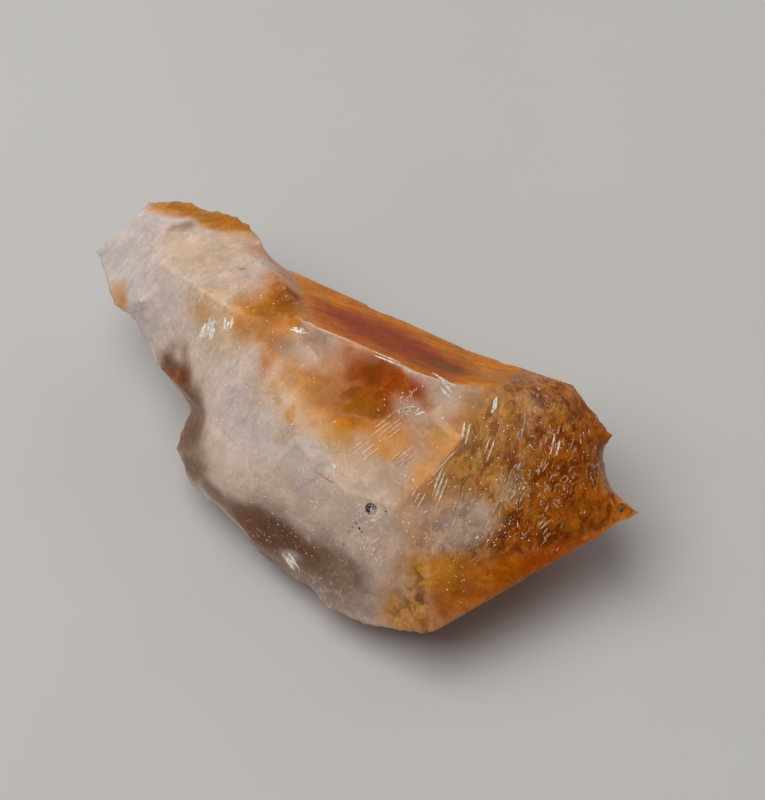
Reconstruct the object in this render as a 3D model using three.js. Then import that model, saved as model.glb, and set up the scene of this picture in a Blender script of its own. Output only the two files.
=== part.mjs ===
// A broken citrine crystal point, lying as it rests on a table. It grew as one piece of
// quartz, so it is one closed solid. Its skin is a net of named corners, and between them
// lie named facets: flat growth faces, curved breaks and rough breaks.
//
// Millimetres. +X runs from the broken root to the termination, +Y to the smooth prism
// side and +Z up. The finished group has its origin at the bottom centre of its box.

import * as THREE from 'three';

// ---------------------------------------------------------------- sizes of the net

const BORDER_STEP = 1.5;        // longest piece of a facet's border
const INSIDE_STEP = 1.9;        // longest triangle edge inside a facet
const REFINE_PASSES = 8;        // rounds of splitting long edges
const SETTLE_PASSES = 3;        // rounds of evening out the inner points
const HEIGHT_PASSES = 160;      // rounds of levelling heights between the borders
const FLATTEN_PASSES = 60;      // rounds of drawing growth faces' corners into planes
const EDGE_WANDER = 0.05;       // sideways wander of a broken edge, per length of edge
const WANDER_LIMIT = 0.35;      // most that any broken edge wanders
const FADE_WIDTH = 2.2;         // relief grows from nothing at a border over this width

// How rough each kind of facet is: slow swell, fine grain and shell-like ripples.
const SURFACE = {
  growth: { swell: 0, grain: 0, ripple: 0 },
  shell: { swell: 0.35, grain: 0.05, ripple: 0.12 },
  rough: { swell: 0.30, grain: 0.22, ripple: 0.04 },
};
const SWELL_LENGTH = 6.5;       // distance between swells
const GRAIN_LENGTH = 1.9;       // distance between grains
const RIPPLE_LENGTH = 3.4;      // distance between shell ripples

// ---------------------------------------------------------------- corners

const CORNERS = {
  // Broken root, at the thin end.
  rootTip: [-29.5, 0.5, 10],
  rootBrow: [-27.5, 4.5, 12],
  rootCrown: [-27.5, 6.5, 11.5],
  crownFar: [-24, 8, 12],
  headFar: [-17.5, 7.5, 14],
  jaw: [-25.5, -3, 9],
  chin: [-23, -3.5, 9],
  headTop: [-25, 3.5, 14],
  headMid: [-22, 0, 14.5],
  headLow: [-22.5, -3, 12],
  crownIn: [-19, 3.5, 15.5],

  // Knee, where the thin root steps up to the body.
  shoulder: [-14.5, 5.5, 15],
  kneeTop: [-15, 3.5, 16.5],
  kneeWest: [-14, -2.5, 17],
  kneeLow: [-11.5, -1.5, 18],
  kneeFront: [-10, 1.5, 17.5],
  neckFar: [-12.5, 6, 12.5],

  // Ridge between the broad break and the prism face, and the prism face's far edge.
  slopeTop: [-7.5, -1.5, 19],
  ridgeStart: [-5, -2.5, 20.5],
  ridgeRise: [-1.5, -2, 20],
  ridgeCrest: [4.5, -2, 20.5],
  ridgeDip: [7.5, -1, 19.5],
  ridgeStep: [9.5, 0.5, 18],
  ridgeEnd: [10.5, 2.5, 17],
  wallRoot: [-1.5, 6, 12],
  wallMid: [5.5, 6.5, 12],
  wallCap: [10, 6.5, 12.5],

  // Termination.
  capPeak: [13.5, 4.5, 15.5],
  capFar: [14.5, 6.5, 13],
  capIn: [16, 5, 13.5],
  capSide: [16.5, 7, 12],
  capHorn: [19.5, 5, 11.5],
  hornIn: [18, 3, 13],
  notchFar: [19.5, 2.5, 11],
  notchNear: [21, 1, 10.5],
  point: [24.5, 0.5, 10],
  capMid: [15.5, 0.5, 14.5],
  capLow: [16.5, -5, 12.5],
  bandPoint: [21, -4.5, 9.5],
  bandMid: [16.5, -9, 10],
  bandToe: [11.5, -13, 11.5],
  keel: [14, -16.5, 6.5],

  // Broad break, facing up.
  breakWest: [-8, -8.5, 15.5],
  breakMid: [-2.5, -10, 15],
  breakHigh: [0.5, -7, 17.5],
  breakHip: [-4.5, -12.5, 12.5],
  shelfNear: [3.5, -12, 14.5],
  shelfArc: [5.5, -5.5, 18],
  ledgeTop: [10, -4, 17],
  ledgeMid: [9, -8, 16.5],
  ledgeLow: [7.5, -11.5, 15],
  toeIn: [5.5, -16.5, 6.5],
  toeHigh: [8.5, -14.5, 11],

  // Rim of the broad break over the near side.
  rimFlank: [-15.5, -8.5, 10.5],
  rimWaist: [-12, -9, 10.5],
  rimHip: [-10.5, -12, 10.5],
  rimLow: [-8, -14, 9],
  rimMid: [-4.5, -14.5, 9.5],
  rimToe: [1, -14.5, 9],

  // Near side, where it turns under.
  flank: [-19.5, -5.5, 8],
  waist: [-15, -8, 6.5],
  hip: [-14.5, -11, 5],
  hipLow: [-12, -13, 4],
  skirtWest: [-9, -14, 3.5],
  skirtMid: [-3.5, -15.5, 3],
  skirtEast: [1, -16.5, 3.5],
  toeWest: [4.5, -17.5, 3.5],
  toeEast: [8, -17.5, 4],
  toeMid: [11, -17, 5],

  // Underside and far side.
  rootUnder: [-26, 3, 6.5],
  throat: [-17.5, -2.5, 3.5],
  napeLow: [-24, 6.5, 7.5],
  backRoot: [-13, 4, 6],
  backMid: [-1, 4.5, 5],
  backCap: [9.5, 5, 4.5],
  capHeel: [17, 5, 5],
  tipUnder: [19, 2.5, 4.5],
  restRoot: [-11.5, -7, 0],
  restNape: [-11, 0, 0],
  restFar: [2, 1.5, 0],
  restHeel: [13.5, 2, 0],
  restKeel: [8, -12.5, 0],
  restToe: [2, -13.5, 0],
  restNear: [-6, -12, 0],
};

// ---------------------------------------------------------------- facets

// kind, bulge in the middle (outward, mm), then the corners, anticlockwise from outside.
const FACETS = {
  headTip: ['shell', 0.3, 'rootTip jaw headLow headMid headTop rootBrow'],
  jawChip: ['shell', 0, 'jaw chin headLow'],
  crownBrow: ['rough', 0, 'rootBrow headTop crownIn crownFar rootCrown'],
  crownTop: ['rough', -0.3, 'crownFar crownIn kneeTop headFar'],
  headBack: ['shell', -0.4, 'headTop headMid kneeWest kneeTop crownIn'],
  neckSlope: ['shell', -0.3, 'headMid headLow chin flank rimFlank breakWest kneeWest'],
  shoulderBreak: ['rough', 0, 'headFar kneeTop kneeFront neckFar shoulder'],
  knee: ['growth', 0, 'kneeTop kneeWest kneeLow kneeFront'],
  kneeSlope: ['shell', -0.4, 'kneeFront kneeLow slopeTop ridgeStart neckFar'],

  prismFace: ['growth', 0, 'neckFar ridgeStart ridgeRise ridgeCrest ridgeDip wallMid wallRoot'],
  prismEnd: ['growth', 0, 'ridgeDip ridgeStep ridgeEnd wallCap wallMid'],
  capTop: ['growth', 0, 'ridgeEnd capPeak capFar wallCap'],
  capRim: ['growth', 0, 'capPeak capIn capSide capFar'],
  hornRim: ['growth', 0, 'capIn hornIn capHorn capSide'],
  capFace: ['rough', 0.3, 'ledgeTop capMid capPeak ridgeEnd ridgeStep ridgeDip'],
  capFlank: ['rough', 0.1, 'capMid hornIn capIn capPeak'],
  pointFace: ['rough', 0.2,
    'capMid capLow bandPoint point notchNear notchFar capHorn hornIn'],
  ledgeFace: ['rough', 0.3,
    'ledgeTop ledgeMid ledgeLow toeHigh bandToe bandMid capLow capMid'],
  bandBreak: ['rough', 0, 'capLow bandMid bandPoint'],
  bandFace: ['growth', 0, 'keel point bandPoint bandMid bandToe'],

  breakNeck: ['shell', 0.2, 'kneeWest breakWest breakMid breakHigh slopeTop kneeLow'],
  breakRidge: ['shell', 0.2, 'slopeTop breakHigh shelfArc ridgeCrest ridgeRise ridgeStart'],
  breakCrest: ['rough', 0, 'shelfArc ledgeTop ridgeDip ridgeCrest'],
  shelf: ['growth', 0, 'breakMid shelfNear ledgeLow ledgeMid ledgeTop shelfArc breakHigh'],
  breakFlank: ['shell', 0.1, 'rimFlank rimWaist breakHip breakMid breakWest'],
  breakRim: ['shell', 0.2, 'rimWaist rimHip rimLow rimMid breakHip'],
  breakToe: ['shell', 0.4,
    'breakHip rimMid rimToe toeIn toeHigh ledgeLow shelfNear breakMid'],

  flankStrip: ['growth', 0, 'flank waist rimWaist rimFlank'],
  waistStrip: ['shell', 0, 'waist hip rimHip rimWaist'],
  hipStrip: ['shell', 0.2, 'hip hipLow skirtWest rimLow rimHip'],
  skirtStripWest: ['shell', 0.3, 'skirtWest skirtMid rimMid rimLow'],
  skirtStripEast: ['shell', 0.3, 'skirtMid skirtEast toeWest rimToe rimMid'],
  toeStripWest: ['shell', 0.1, 'toeWest toeEast toeIn rimToe'],
  toeStripMid: ['shell', 0.2, 'toeEast toeMid toeHigh toeIn'],
  toeStripEast: ['shell', 0.2, 'toeMid keel bandToe toeHigh'],

  rhombFace: ['growth', 0, 'keel restKeel restHeel tipUnder point'],
  notchWall: ['rough', 0, 'capHorn notchFar notchNear point tipUnder capHeel'],
  capBack: ['growth', 0, 'capFar capSide capHorn capHeel'],
  farFace: ['growth', 0,
    'neckFar wallRoot wallMid wallCap capFar capHeel backCap backMid backRoot'],
  napeWall: ['rough', 0.2, 'crownFar headFar shoulder neckFar backRoot napeLow'],
  rootEnd: ['rough', 0.3, 'rootUnder rootTip rootBrow rootCrown crownFar napeLow'],
  underChin: ['shell', 0.2, 'throat flank chin jaw rootTip rootUnder'],
  underNape: ['shell', 0.3, 'backRoot restNape restRoot throat rootUnder napeLow'],
  underWaist: ['shell', 0.2, 'restRoot hip waist flank throat'],
  underHip: ['shell', 0, 'restRoot restNear skirtWest hipLow hip'],
  underSkirt: ['shell', 0, 'restNear restToe toeWest skirtEast skirtMid skirtWest'],
  underToe: ['shell', 0, 'restToe restKeel keel toeMid toeEast toeWest'],
  underFar: ['growth', 0,
    'tipUnder restHeel restFar restNape backRoot backMid backCap capHeel'],
  rest: ['growth', 0, 'restRoot restNape restFar restHeel restKeel restToe restNear'],
};

// ---------------------------------------------------------------- repeatable noise

function hash(x, y, z, seed) {
  const wave = Math.sin(x * 127.1 + y * 311.7 + z * 74.7 + seed * 53.3) * 43758.5453;
  return (wave - Math.floor(wave)) * 2 - 1;
}

// Smooth noise between -1 and 1 that varies over a distance of one unit.
function noise(x, y, z, seed) {
  const cell = [Math.floor(x), Math.floor(y), Math.floor(z)];
  const part = [x - cell[0], y - cell[1], z - cell[2]].map((t) => t * t * (3 - 2 * t));
  let sum = 0;
  for (let corner = 0; corner < 8; corner += 1) {
    const step = [corner & 1, (corner >> 1) & 1, (corner >> 2) & 1];
    const weight = step.reduce((w, s, axis) => w * (s ? part[axis] : 1 - part[axis]), 1);
    sum += weight * hash(cell[0] + step[0], cell[1] + step[1], cell[2] + step[2], seed);
  }
  return sum;
}

function noiseAt(point, length, seed) {
  return noise(point.x / length, point.y / length, point.z / length, seed);
}

// ---------------------------------------------------------------- shared borders

const points = [];              // every vertex of the solid
const cornerIndex = new Map();  // corner name -> vertex
const borderOf = new Map();     // 'a b' -> vertices strictly between the two corners
const growthBorders = new Set();

function addPoint(point) {
  points.push(point);
  return points.length - 1;
}

function borderKey(a, b) {
  return [a, b].sort().join(' ');
}

// A border that touches a growth face stays straight, and any other one wanders.
function makeBorder(a, b) {
  const start = points[cornerIndex.get(a)];
  const end = points[cornerIndex.get(b)];
  const length = start.distanceTo(end);
  const pieces = Math.max(1, Math.ceil(length / BORDER_STEP));
  const reach = growthBorders.has(borderKey(a, b))
    ? 0 : Math.min(WANDER_LIMIT, length * EDGE_WANDER);
  const inner = [];
  for (let i = 1; i < pieces; i += 1) {
    const t = i / pieces;
    const point = start.clone().lerp(end, t);
    const shift = new THREE.Vector3(
      noiseAt(point, GRAIN_LENGTH, 11),
      noiseAt(point, GRAIN_LENGTH, 12),
      noiseAt(point, GRAIN_LENGTH, 13),
    );
    point.addScaledVector(shift, reach * 2 * Math.sqrt(t * (1 - t)));
    inner.push(addPoint(point));
  }
  return inner;
}

// Vertices from corner a up to, and not including, corner b.
function borderPath(a, b) {
  const first = a < b;
  const key = borderKey(a, b);
  if (!borderOf.has(key)) {
    borderOf.set(key, first ? makeBorder(a, b) : makeBorder(b, a));
  }
  const inner = borderOf.get(key);
  return [cornerIndex.get(a), ...(first ? inner : [...inner].reverse())];
}

// ---------------------------------------------------------------- filling one facet

// Newell's normal of a closed loop, which also suits a loop that isn't quite flat.
function loopNormal(loop) {
  const normal = new THREE.Vector3();
  loop.forEach((p, i) => {
    const q = loop[(i + 1) % loop.length];
    normal.x += (p.y - q.y) * (p.z + q.z);
    normal.y += (p.z - q.z) * (p.x + q.x);
    normal.z += (p.x - q.x) * (p.y + q.y);
  });
  return normal.normalize();
}

function facetPlane(loop) {
  const normal = loopNormal(loop);
  const along = loop[1].clone().sub(loop[0]);
  along.addScaledVector(normal, -along.dot(normal)).normalize();
  const across = normal.clone().cross(along);
  const centre = loop.reduce((sum, p) => sum.add(p), new THREE.Vector3());
  return { normal, along, across, centre: centre.divideScalar(loop.length) };
}

function cross2(a, b, c) {
  return (b.u - a.u) * (c.v - a.v) - (b.v - a.v) * (c.u - a.u);
}

// Above zero where point d lies inside the circle through a, b and c.
function insideCircle(a, b, c, d) {
  const rows = [a, b, c].map((p) => {
    const du = p.u - d.u;
    const dv = p.v - d.v;
    return [du, dv, du * du + dv * dv];
  });
  const [p, q, r] = rows;
  return p[0] * (q[1] * r[2] - r[1] * q[2])
    - p[1] * (q[0] * r[2] - r[0] * q[2])
    + p[2] * (q[0] * r[1] - r[0] * q[1]);
}

// Inner edges of a flat net, each with the triangle on either side.
function innerEdges(triangles) {
  const sides = new Map();
  triangles.forEach((triangle, t) => {
    for (let i = 0; i < 3; i += 1) {
      const a = triangle[i];
      const b = triangle[(i + 1) % 3];
      const key = a < b ? `${a} ${b}` : `${b} ${a}`;
      if (!sides.has(key)) sides.set(key, []);
      sides.get(key).push({ t, a, b, apex: triangle[(i + 2) % 3] });
    }
  });
  return [...sides.values()].filter((pair) => pair.length === 2);
}

// Swaps the diagonals of neighbours until no triangle's circle holds another's point.
function swapDiagonals(flat, triangles) {
  const tiny = 1e-9;
  let changed = true;
  while (changed) {
    changed = false;
    const touched = new Set();
    for (const [one, two] of innerEdges(triangles)) {
      if (touched.has(one.t) || touched.has(two.t)) continue;
      const [a, b, c, d] = [one.a, one.b, one.apex, two.apex].map((i) => flat[i]);
      const convex = cross2(d, b, c) > tiny && cross2(c, a, d) > tiny;
      if (!convex || insideCircle(a, b, c, d) <= tiny) continue;
      triangles[one.t] = [two.apex, one.b, one.apex];
      triangles[two.t] = [one.apex, one.a, two.apex];
      touched.add(one.t).add(two.t);
      changed = true;
    }
  }
}

function splitLongEdges(flat, triangles) {
  const edges = innerEdges(triangles).map(([one, two]) => {
    const a = flat[one.a];
    const b = flat[one.b];
    return { one, two, length: Math.hypot(a.u - b.u, a.v - b.v) };
  });
  edges.sort((p, q) => q.length - p.length);
  const touched = new Set();
  for (const { one, two, length } of edges) {
    if (length <= INSIDE_STEP) break;
    if (touched.has(one.t) || touched.has(two.t)) continue;
    const a = flat[one.a];
    const b = flat[one.b];
    const middle = flat.length;
    flat.push({ u: (a.u + b.u) / 2, v: (a.v + b.v) / 2, w: (a.w + b.w) / 2 });
    triangles[one.t] = [one.a, middle, one.apex];
    triangles[two.t] = [two.a, middle, two.apex];
    triangles.push([middle, one.b, one.apex], [middle, two.b, two.apex]);
    touched.add(one.t).add(two.t);
  }
  return touched.size > 0;
}

function neighbourLists(count, triangles) {
  const lists = Array.from({ length: count }, () => new Set());
  for (const [a, b, c] of triangles) {
    lists[a].add(b).add(c);
    lists[b].add(a).add(c);
    lists[c].add(a).add(b);
  }
  return lists.map((set) => [...set]);
}

function averageOf(flat, list, axis) {
  return list.reduce((sum, i) => sum + flat[i][axis], 0) / list.length;
}

// Moves inner points halfway to the middle of their neighbours, within the plane, where
// that turns no triangle over.
function settleInside(flat, triangles, fixed) {
  const lists = neighbourLists(flat.length, triangles);
  const around = Array.from({ length: flat.length }, () => []);
  triangles.forEach((triangle) => triangle.forEach((i) => around[i].push(triangle)));
  for (let i = fixed; i < flat.length; i += 1) {
    const kept = { u: flat[i].u, v: flat[i].v };
    flat[i].u = (kept.u + averageOf(flat, lists[i], 'u')) / 2;
    flat[i].v = (kept.v + averageOf(flat, lists[i], 'v')) / 2;
    const sound = around[i].every(([a, b, c]) => cross2(flat[a], flat[b], flat[c]) > 1e-6);
    if (!sound) Object.assign(flat[i], kept);
  }
}

// Lets inner heights follow the border's, as a film stretched over it would.
function levelHeights(flat, triangles, fixed) {
  const lists = neighbourLists(flat.length, triangles);
  for (let pass = 0; pass < HEIGHT_PASSES; pass += 1) {
    for (let i = fixed; i < flat.length; i += 1) flat[i].w = averageOf(flat, lists[i], 'w');
  }
}

function distanceToLoop(p, flat, fixed) {
  let nearest = Infinity;
  for (let i = 0; i < fixed; i += 1) {
    const a = flat[i];
    const b = flat[(i + 1) % fixed];
    const du = b.u - a.u;
    const dv = b.v - a.v;
    const along = ((p.u - a.u) * du + (p.v - a.v) * dv) / (du * du + dv * dv);
    const t = Math.min(1, Math.max(0, along));
    nearest = Math.min(nearest, Math.hypot(p.u - a.u - t * du, p.v - a.v - t * dv));
  }
  return nearest;
}

// Height that a break adds at a point: swell, grain and ripples around a struck spot.
function reliefAt(point, surface, strike, seed) {
  const ripple = Math.sin((point.distanceTo(strike) / RIPPLE_LENGTH) * 2 * Math.PI);
  return surface.swell * noiseAt(point, SWELL_LENGTH, seed)
    + surface.grain * noiseAt(point, GRAIN_LENGTH, seed + 1)
    + surface.ripple * ripple;
}

function fillFacet([kind, bulge, cornerNames], seed) {
  const names = cornerNames.split(' ');
  const border = names.flatMap((name, i) => borderPath(name, names[(i + 1) % names.length]));
  const loop = border.map((i) => points[i]);
  const plane = facetPlane(loop);
  const flat = loop.map((p) => {
    const offset = p.clone().sub(plane.centre);
    const [u, v, w] = [plane.along, plane.across, plane.normal].map((axis) => offset.dot(axis));
    return { u, v, w };
  });
  const fixed = flat.length;
  const contour = flat.map((p) => new THREE.Vector2(p.u, p.v));
  const triangles = THREE.ShapeUtils.triangulateShape(contour, []);

  swapDiagonals(flat, triangles);
  for (let pass = 0; pass < REFINE_PASSES; pass += 1) {
    if (!splitLongEdges(flat, triangles)) break;
    swapDiagonals(flat, triangles);
  }
  for (let pass = 0; pass < SETTLE_PASSES; pass += 1) {
    settleInside(flat, triangles, fixed);
    swapDiagonals(flat, triangles);
  }
  levelHeights(flat, triangles, fixed);

  const reach = Math.max(...flat.map((p) => distanceToLoop(p, flat, fixed)));
  const surface = SURFACE[kind];
  const strike = loop[seed % loop.length];
  const indices = [...border];
  for (let i = fixed; i < flat.length; i += 1) {
    const p = flat[i];
    const point = plane.centre.clone()
      .addScaledVector(plane.along, p.u)
      .addScaledVector(plane.across, p.v)
      .addScaledVector(plane.normal, p.w);
    const distance = distanceToLoop(p, flat, fixed);
    const fade = THREE.MathUtils.smoothstep(distance, 0, FADE_WIDTH);
    const dome = Math.sin((distance / reach) * (Math.PI / 2));
    const height = bulge * dome + fade * reliefAt(point, surface, strike, seed);
    indices.push(addPoint(point.addScaledVector(plane.normal, height)));
  }
  return triangles.map((triangle) => triangle.map((i) => indices[i]));
}

// ---------------------------------------------------------------- flat growth faces

// Draws the corners of every growth face into one plane, a little at a time, because
// neighbouring faces share corners. The face that the crystal rests on stays level.
function flattenGrowthFaces() {
  const faces = Object.values(FACETS).filter(([kind]) => kind === 'growth');
  const restCorners = FACETS.rest[2].split(' ').map((name) => points[cornerIndex.get(name)]);
  for (let pass = 0; pass < FLATTEN_PASSES; pass += 1) {
    for (const [, , cornerNames] of faces) {
      const loop = cornerNames.split(' ').map((name) => points[cornerIndex.get(name)]);
      const { normal, centre } = facetPlane(loop);
      for (const corner of loop) {
        corner.addScaledVector(normal, -corner.clone().sub(centre).dot(normal));
      }
    }
    for (const corner of restCorners) corner.z = 0;
  }
}

// ---------------------------------------------------------------- the crystal

function crystalGeometry() {
  for (const [name, place] of Object.entries(CORNERS)) {
    cornerIndex.set(name, addPoint(new THREE.Vector3(...place)));
  }
  for (const [kind, , cornerNames] of Object.values(FACETS)) {
    if (kind !== 'growth') continue;
    const names = cornerNames.split(' ');
    names.forEach((a, i) => growthBorders.add(borderKey(a, names[(i + 1) % names.length])));
  }
  flattenGrowthFaces();
  const triangles = Object.values(FACETS).flatMap((facet, i) => fillFacet(facet, i + 1));
  const geometry = new THREE.BufferGeometry().setFromPoints(points);
  geometry.setIndex(triangles.flat());
  geometry.computeVertexNormals();
  geometry.computeBoundingBox();
  const { min, max } = geometry.boundingBox;
  geometry.translate(-(min.x + max.x) / 2, -(min.y + max.y) / 2, -min.z);
  return geometry;
}

const citrine = new THREE.MeshStandardMaterial({
  color: 0xc79a66,
  roughness: 0.25,
  metalness: 0,
  flatShading: true,
});

const crystal = new THREE.Mesh(crystalGeometry(), citrine);
crystal.name = 'citrine_point';

const group = new THREE.Group();
group.name = 'citrine_crystal_point';
group.add(crystal);

export default group;
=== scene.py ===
"""Looks of a broken citrine crystal point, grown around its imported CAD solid.

The crystal's skin is a fine copy of the CAD solid with growth lines, small breaks, chips
and a pit worked into it. What is sealed in the crystal (flakes, healed cracks, bright
breaks, slivers, glitter and dark specks) is made as thin closed pieces in its outermost
part, which stand a little out of the skin in places. Metres throughout, and MM turns
millimetres into metres.
"""

import math

import bmesh
import bpy
import numpy as np
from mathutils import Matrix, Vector


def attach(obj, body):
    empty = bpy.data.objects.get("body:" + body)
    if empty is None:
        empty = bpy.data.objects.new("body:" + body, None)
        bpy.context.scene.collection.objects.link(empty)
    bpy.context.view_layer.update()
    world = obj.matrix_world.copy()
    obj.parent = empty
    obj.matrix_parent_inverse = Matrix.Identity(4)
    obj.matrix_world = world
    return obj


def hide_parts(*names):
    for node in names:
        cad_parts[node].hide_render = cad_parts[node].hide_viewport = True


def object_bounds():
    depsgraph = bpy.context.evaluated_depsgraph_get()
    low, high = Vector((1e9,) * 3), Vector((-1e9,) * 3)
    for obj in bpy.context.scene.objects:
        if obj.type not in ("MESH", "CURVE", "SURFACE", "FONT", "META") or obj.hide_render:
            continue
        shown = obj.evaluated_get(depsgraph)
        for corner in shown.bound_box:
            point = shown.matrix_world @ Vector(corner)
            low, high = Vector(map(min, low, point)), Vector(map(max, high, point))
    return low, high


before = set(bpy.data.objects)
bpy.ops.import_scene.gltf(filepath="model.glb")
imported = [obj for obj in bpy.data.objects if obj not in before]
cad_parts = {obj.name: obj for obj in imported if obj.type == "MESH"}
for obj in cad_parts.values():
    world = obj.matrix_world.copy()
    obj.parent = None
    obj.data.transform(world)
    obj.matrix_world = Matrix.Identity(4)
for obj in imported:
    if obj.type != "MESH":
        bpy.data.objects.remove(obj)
CAD_LOW, CAD_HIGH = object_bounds()

bl_info = {
    "name": "Citrine Crystal Point",
    "version": (1, 0, 0),
    "blender": (4, 5, 0),
    "location": "View3D > Sidebar > Citrine",
    "description": "Builds the skin, inclusions and studio of a broken citrine point",
    "category": "Object",
}

MM = 0.001
NODE = "citrine_point"
BODY = "root"


# ------------------------------------------------------------------ places in the frame

def place(along, across, up):
    """A point in the crystal's box: -1 to 1 along X and Y, and 0 to 1 from the floor up."""
    low, high = np.array(CAD_LOW), np.array(CAD_HIGH)
    middle, half = (low + high) / 2, (high - low) / 2
    return np.array([
        middle[0] + along * half[0],
        middle[1] + across * half[1],
        low[2] + up * 2 * half[2],
    ])


# ------------------------------------------------------------------ repeatable noise

def cell_random(cells, seed):
    """Random numbers from 0 to 1, one for each whole-number cell, by mixing its three
    numbers with large primes."""
    mixed = cells[..., 0] * 73856093 ^ cells[..., 1] * 19349663 ^ cells[..., 2] * 83492791
    mixed = (mixed + seed * 40503) & 0x7FFFFFFF
    mixed = ((mixed ^ (mixed >> 13)) * 1274126177) & 0x7FFFFFFF
    mixed = ((mixed ^ (mixed >> 15)) * 668265263) & 0x7FFFFFFF
    return (mixed ^ (mixed >> 14)) % 100003 / 100003.0


def smooth_noise(points, length, seed):
    """Noise from -1 to 1 that varies over a length: the eight corners of each lattice
    cell hold random values, which blend with the smooth step 3t^2 - 2t^3."""
    scaled = points / length
    cells = np.floor(scaled).astype(np.int64)
    part = scaled - cells
    part = part * part * (3 - 2 * part)
    total = np.zeros(len(points))
    for corner in range(8):
        step = np.array([corner & 1, corner >> 1 & 1, corner >> 2 & 1])
        weight = np.prod(np.where(step, part, 1 - part), axis=1)
        total += weight * cell_random(cells + step, seed)
    return total * 2 - 1


def layered_noise(points, length, seed, layers=3):
    """Sum of smooth noises, each half as long and half as strong as the one before."""
    total = sum(smooth_noise(points, length / 2 ** n, seed + n) / 2 ** n for n in range(layers))
    return total / (2 - 2 / 2 ** layers)


def nearest_grain(points, length, seed):
    """Scattered grains, one in each lattice cell: gives the offset from each point's
    nearest grain, and three random numbers of that grain."""
    scaled = points / length
    home = np.floor(scaled).astype(np.int64)
    best = np.full(len(points), np.inf)
    offset = np.zeros_like(points)
    grain = np.zeros_like(home)
    for step in np.ndindex(3, 3, 3):
        cells = home + (np.array(step) - 1)
        jitter = np.stack([cell_random(cells, seed + axis) for axis in range(3)], axis=1)
        gap = scaled - (cells + jitter)
        distance = np.linalg.norm(gap, axis=1)
        closer = distance < best
        best = np.where(closer, distance, best)
        offset[closer] = gap[closer]
        grain[closer] = cells[closer]
    character = np.stack([cell_random(grain, seed + 7 + axis) for axis in range(3)], axis=1)
    return offset, character


def fade(value, start, end):
    """Smooth step from 0 at start to 1 at end, either way round."""
    t = np.clip((value - start) / (end - start), 0, 1)
    return t * t * (3 - 2 * t)


# ------------------------------------------------------------------ settings

def length_setting(name, description, millimetres):
    """A length that a user can set, with its default in millimetres."""
    return bpy.props.FloatProperty(
        name=name, description=description, default=millimetres * MM,
        unit="LENGTH", precision=5)


def colour_setting(name, description, default):
    """A colour that a user can set."""
    return bpy.props.FloatVectorProperty(
        name=name, description=description, default=default, subtype="COLOR", min=0, max=1)


def share_setting(name, description, default):
    """A share from 0 to 1 that a user can set."""
    return bpy.props.FloatProperty(
        name=name, description=description, default=default, subtype="FACTOR", min=0, max=1)


class CrystalShapeSettings(bpy.types.PropertyGroup):
    """Sizes of the crystal's skin and of what is sealed in it."""

    mesh_step: length_setting("Mesh step", "Edges of the skin longer than this are halved", 0.36)
    pit_step: length_setting("Pit mesh step", "Edges round the pit longer than this are halved", 0.12)
    hackle_size: length_setting("Hackle size", "Width of the small flat breaks on rough faces", 1.9)
    hackle_height: length_setting("Hackle height", "Height of the small flat breaks", 0.10)
    growth_pitch: length_setting("Growth line pitch", "Distance between lines on growth faces", 0.9)
    growth_height: length_setting("Growth line height", "Height of the lines on growth faces", 0.012)
    chip_depth: length_setting("Chip depth", "Depth of the chips along the ridges", 0.14)
    # The ridge band holds the chips and a pale band, partly wear and partly a painted highlight.
    ridge_width: length_setting("Ridge width", "Width of the worn band along a ridge", 0.5)
    pit_width: length_setting("Pit width", "Width of the small round pit", 1.15)
    pit_depth: length_setting("Pit depth", "Depth of the small round pit", 0.35)
    flake_rise: length_setting("Flake rise", "Most that a flake's crest is set out of the skin", 0.05)


class CrystalColourSettings(bpy.types.PropertyGroup):
    """Colours and optical values of the quartz."""

    frost: colour_setting("Frost", "Bluish white quartz", (0.60, 0.51, 0.48))
    milk: colour_setting("Milk", "Cloudy white quartz", (0.62, 0.46, 0.36))
    cream: colour_setting("Cream", "Warm cloudy quartz", (0.64, 0.40, 0.19))
    pink: colour_setting("Pink", "Pinkish cloudy quartz", (0.57, 0.38, 0.28))
    # Mauve is partly greyish brown quartz and partly painted shade: it darkens the steep near end of
    # the break, the hip and the pit's hollow.
    mauve_and_shade: colour_setting("Mauve", "Greyish brown quartz", (0.20, 0.10, 0.055))
    honey: colour_setting("Honey", "Bright golden citrine", (0.77, 0.31, 0.015))
    amber: colour_setting("Amber", "Golden brown citrine", (0.74, 0.215, 0.005))
    rust: colour_setting("Rust", "Orange-brown citrine", (0.70, 0.135, 0.003))
    red: colour_setting("Red", "Deep orange-red citrine", (0.32, 0.018, 0.001))
    # Smoke is smoky brown quartz, and on the near, lower side it is also painted shade.
    smoke_and_shade: colour_setting("Smoke", "Smoky brown quartz", (0.20, 0.07, 0.018))
    # Glint is the near-white end of the inclusions' tints: partly their own pale colour, partly
    # painted glints of light off them.
    glint: colour_setting("Glint", "Bright inner breaks and slivers", (0.97, 0.91, 0.82))
    # Soot is the black of the specks, and on the pit's left side it is a painted shadow.
    soot: colour_setting("Soot", "Black specks and the pit's lining", (0.012, 0.008, 0.008))
    absorption: colour_setting("Absorption", "Light of this colour passes, the rest is absorbed",
                               (0.95, 0.665, 0.02))
    absorption_density: bpy.props.FloatProperty(
        name="Absorption density", description="How fast the rest is absorbed, per metre",
        default=420, min=0)
    sheen: colour_setting("Sheen", "Tint of the quartz's own reflections", (0.80, 0.45, 0.20))
    ior: bpy.props.FloatProperty(
        name="Refraction", description="Index of refraction of quartz", default=1.544)
    gloss: share_setting("Break gloss", "Strength of the polish-like gloss on breaks", 0.5)
    growth_gloss: share_setting("Growth gloss", "Strength of that gloss on growth faces", 0.02)


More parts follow.
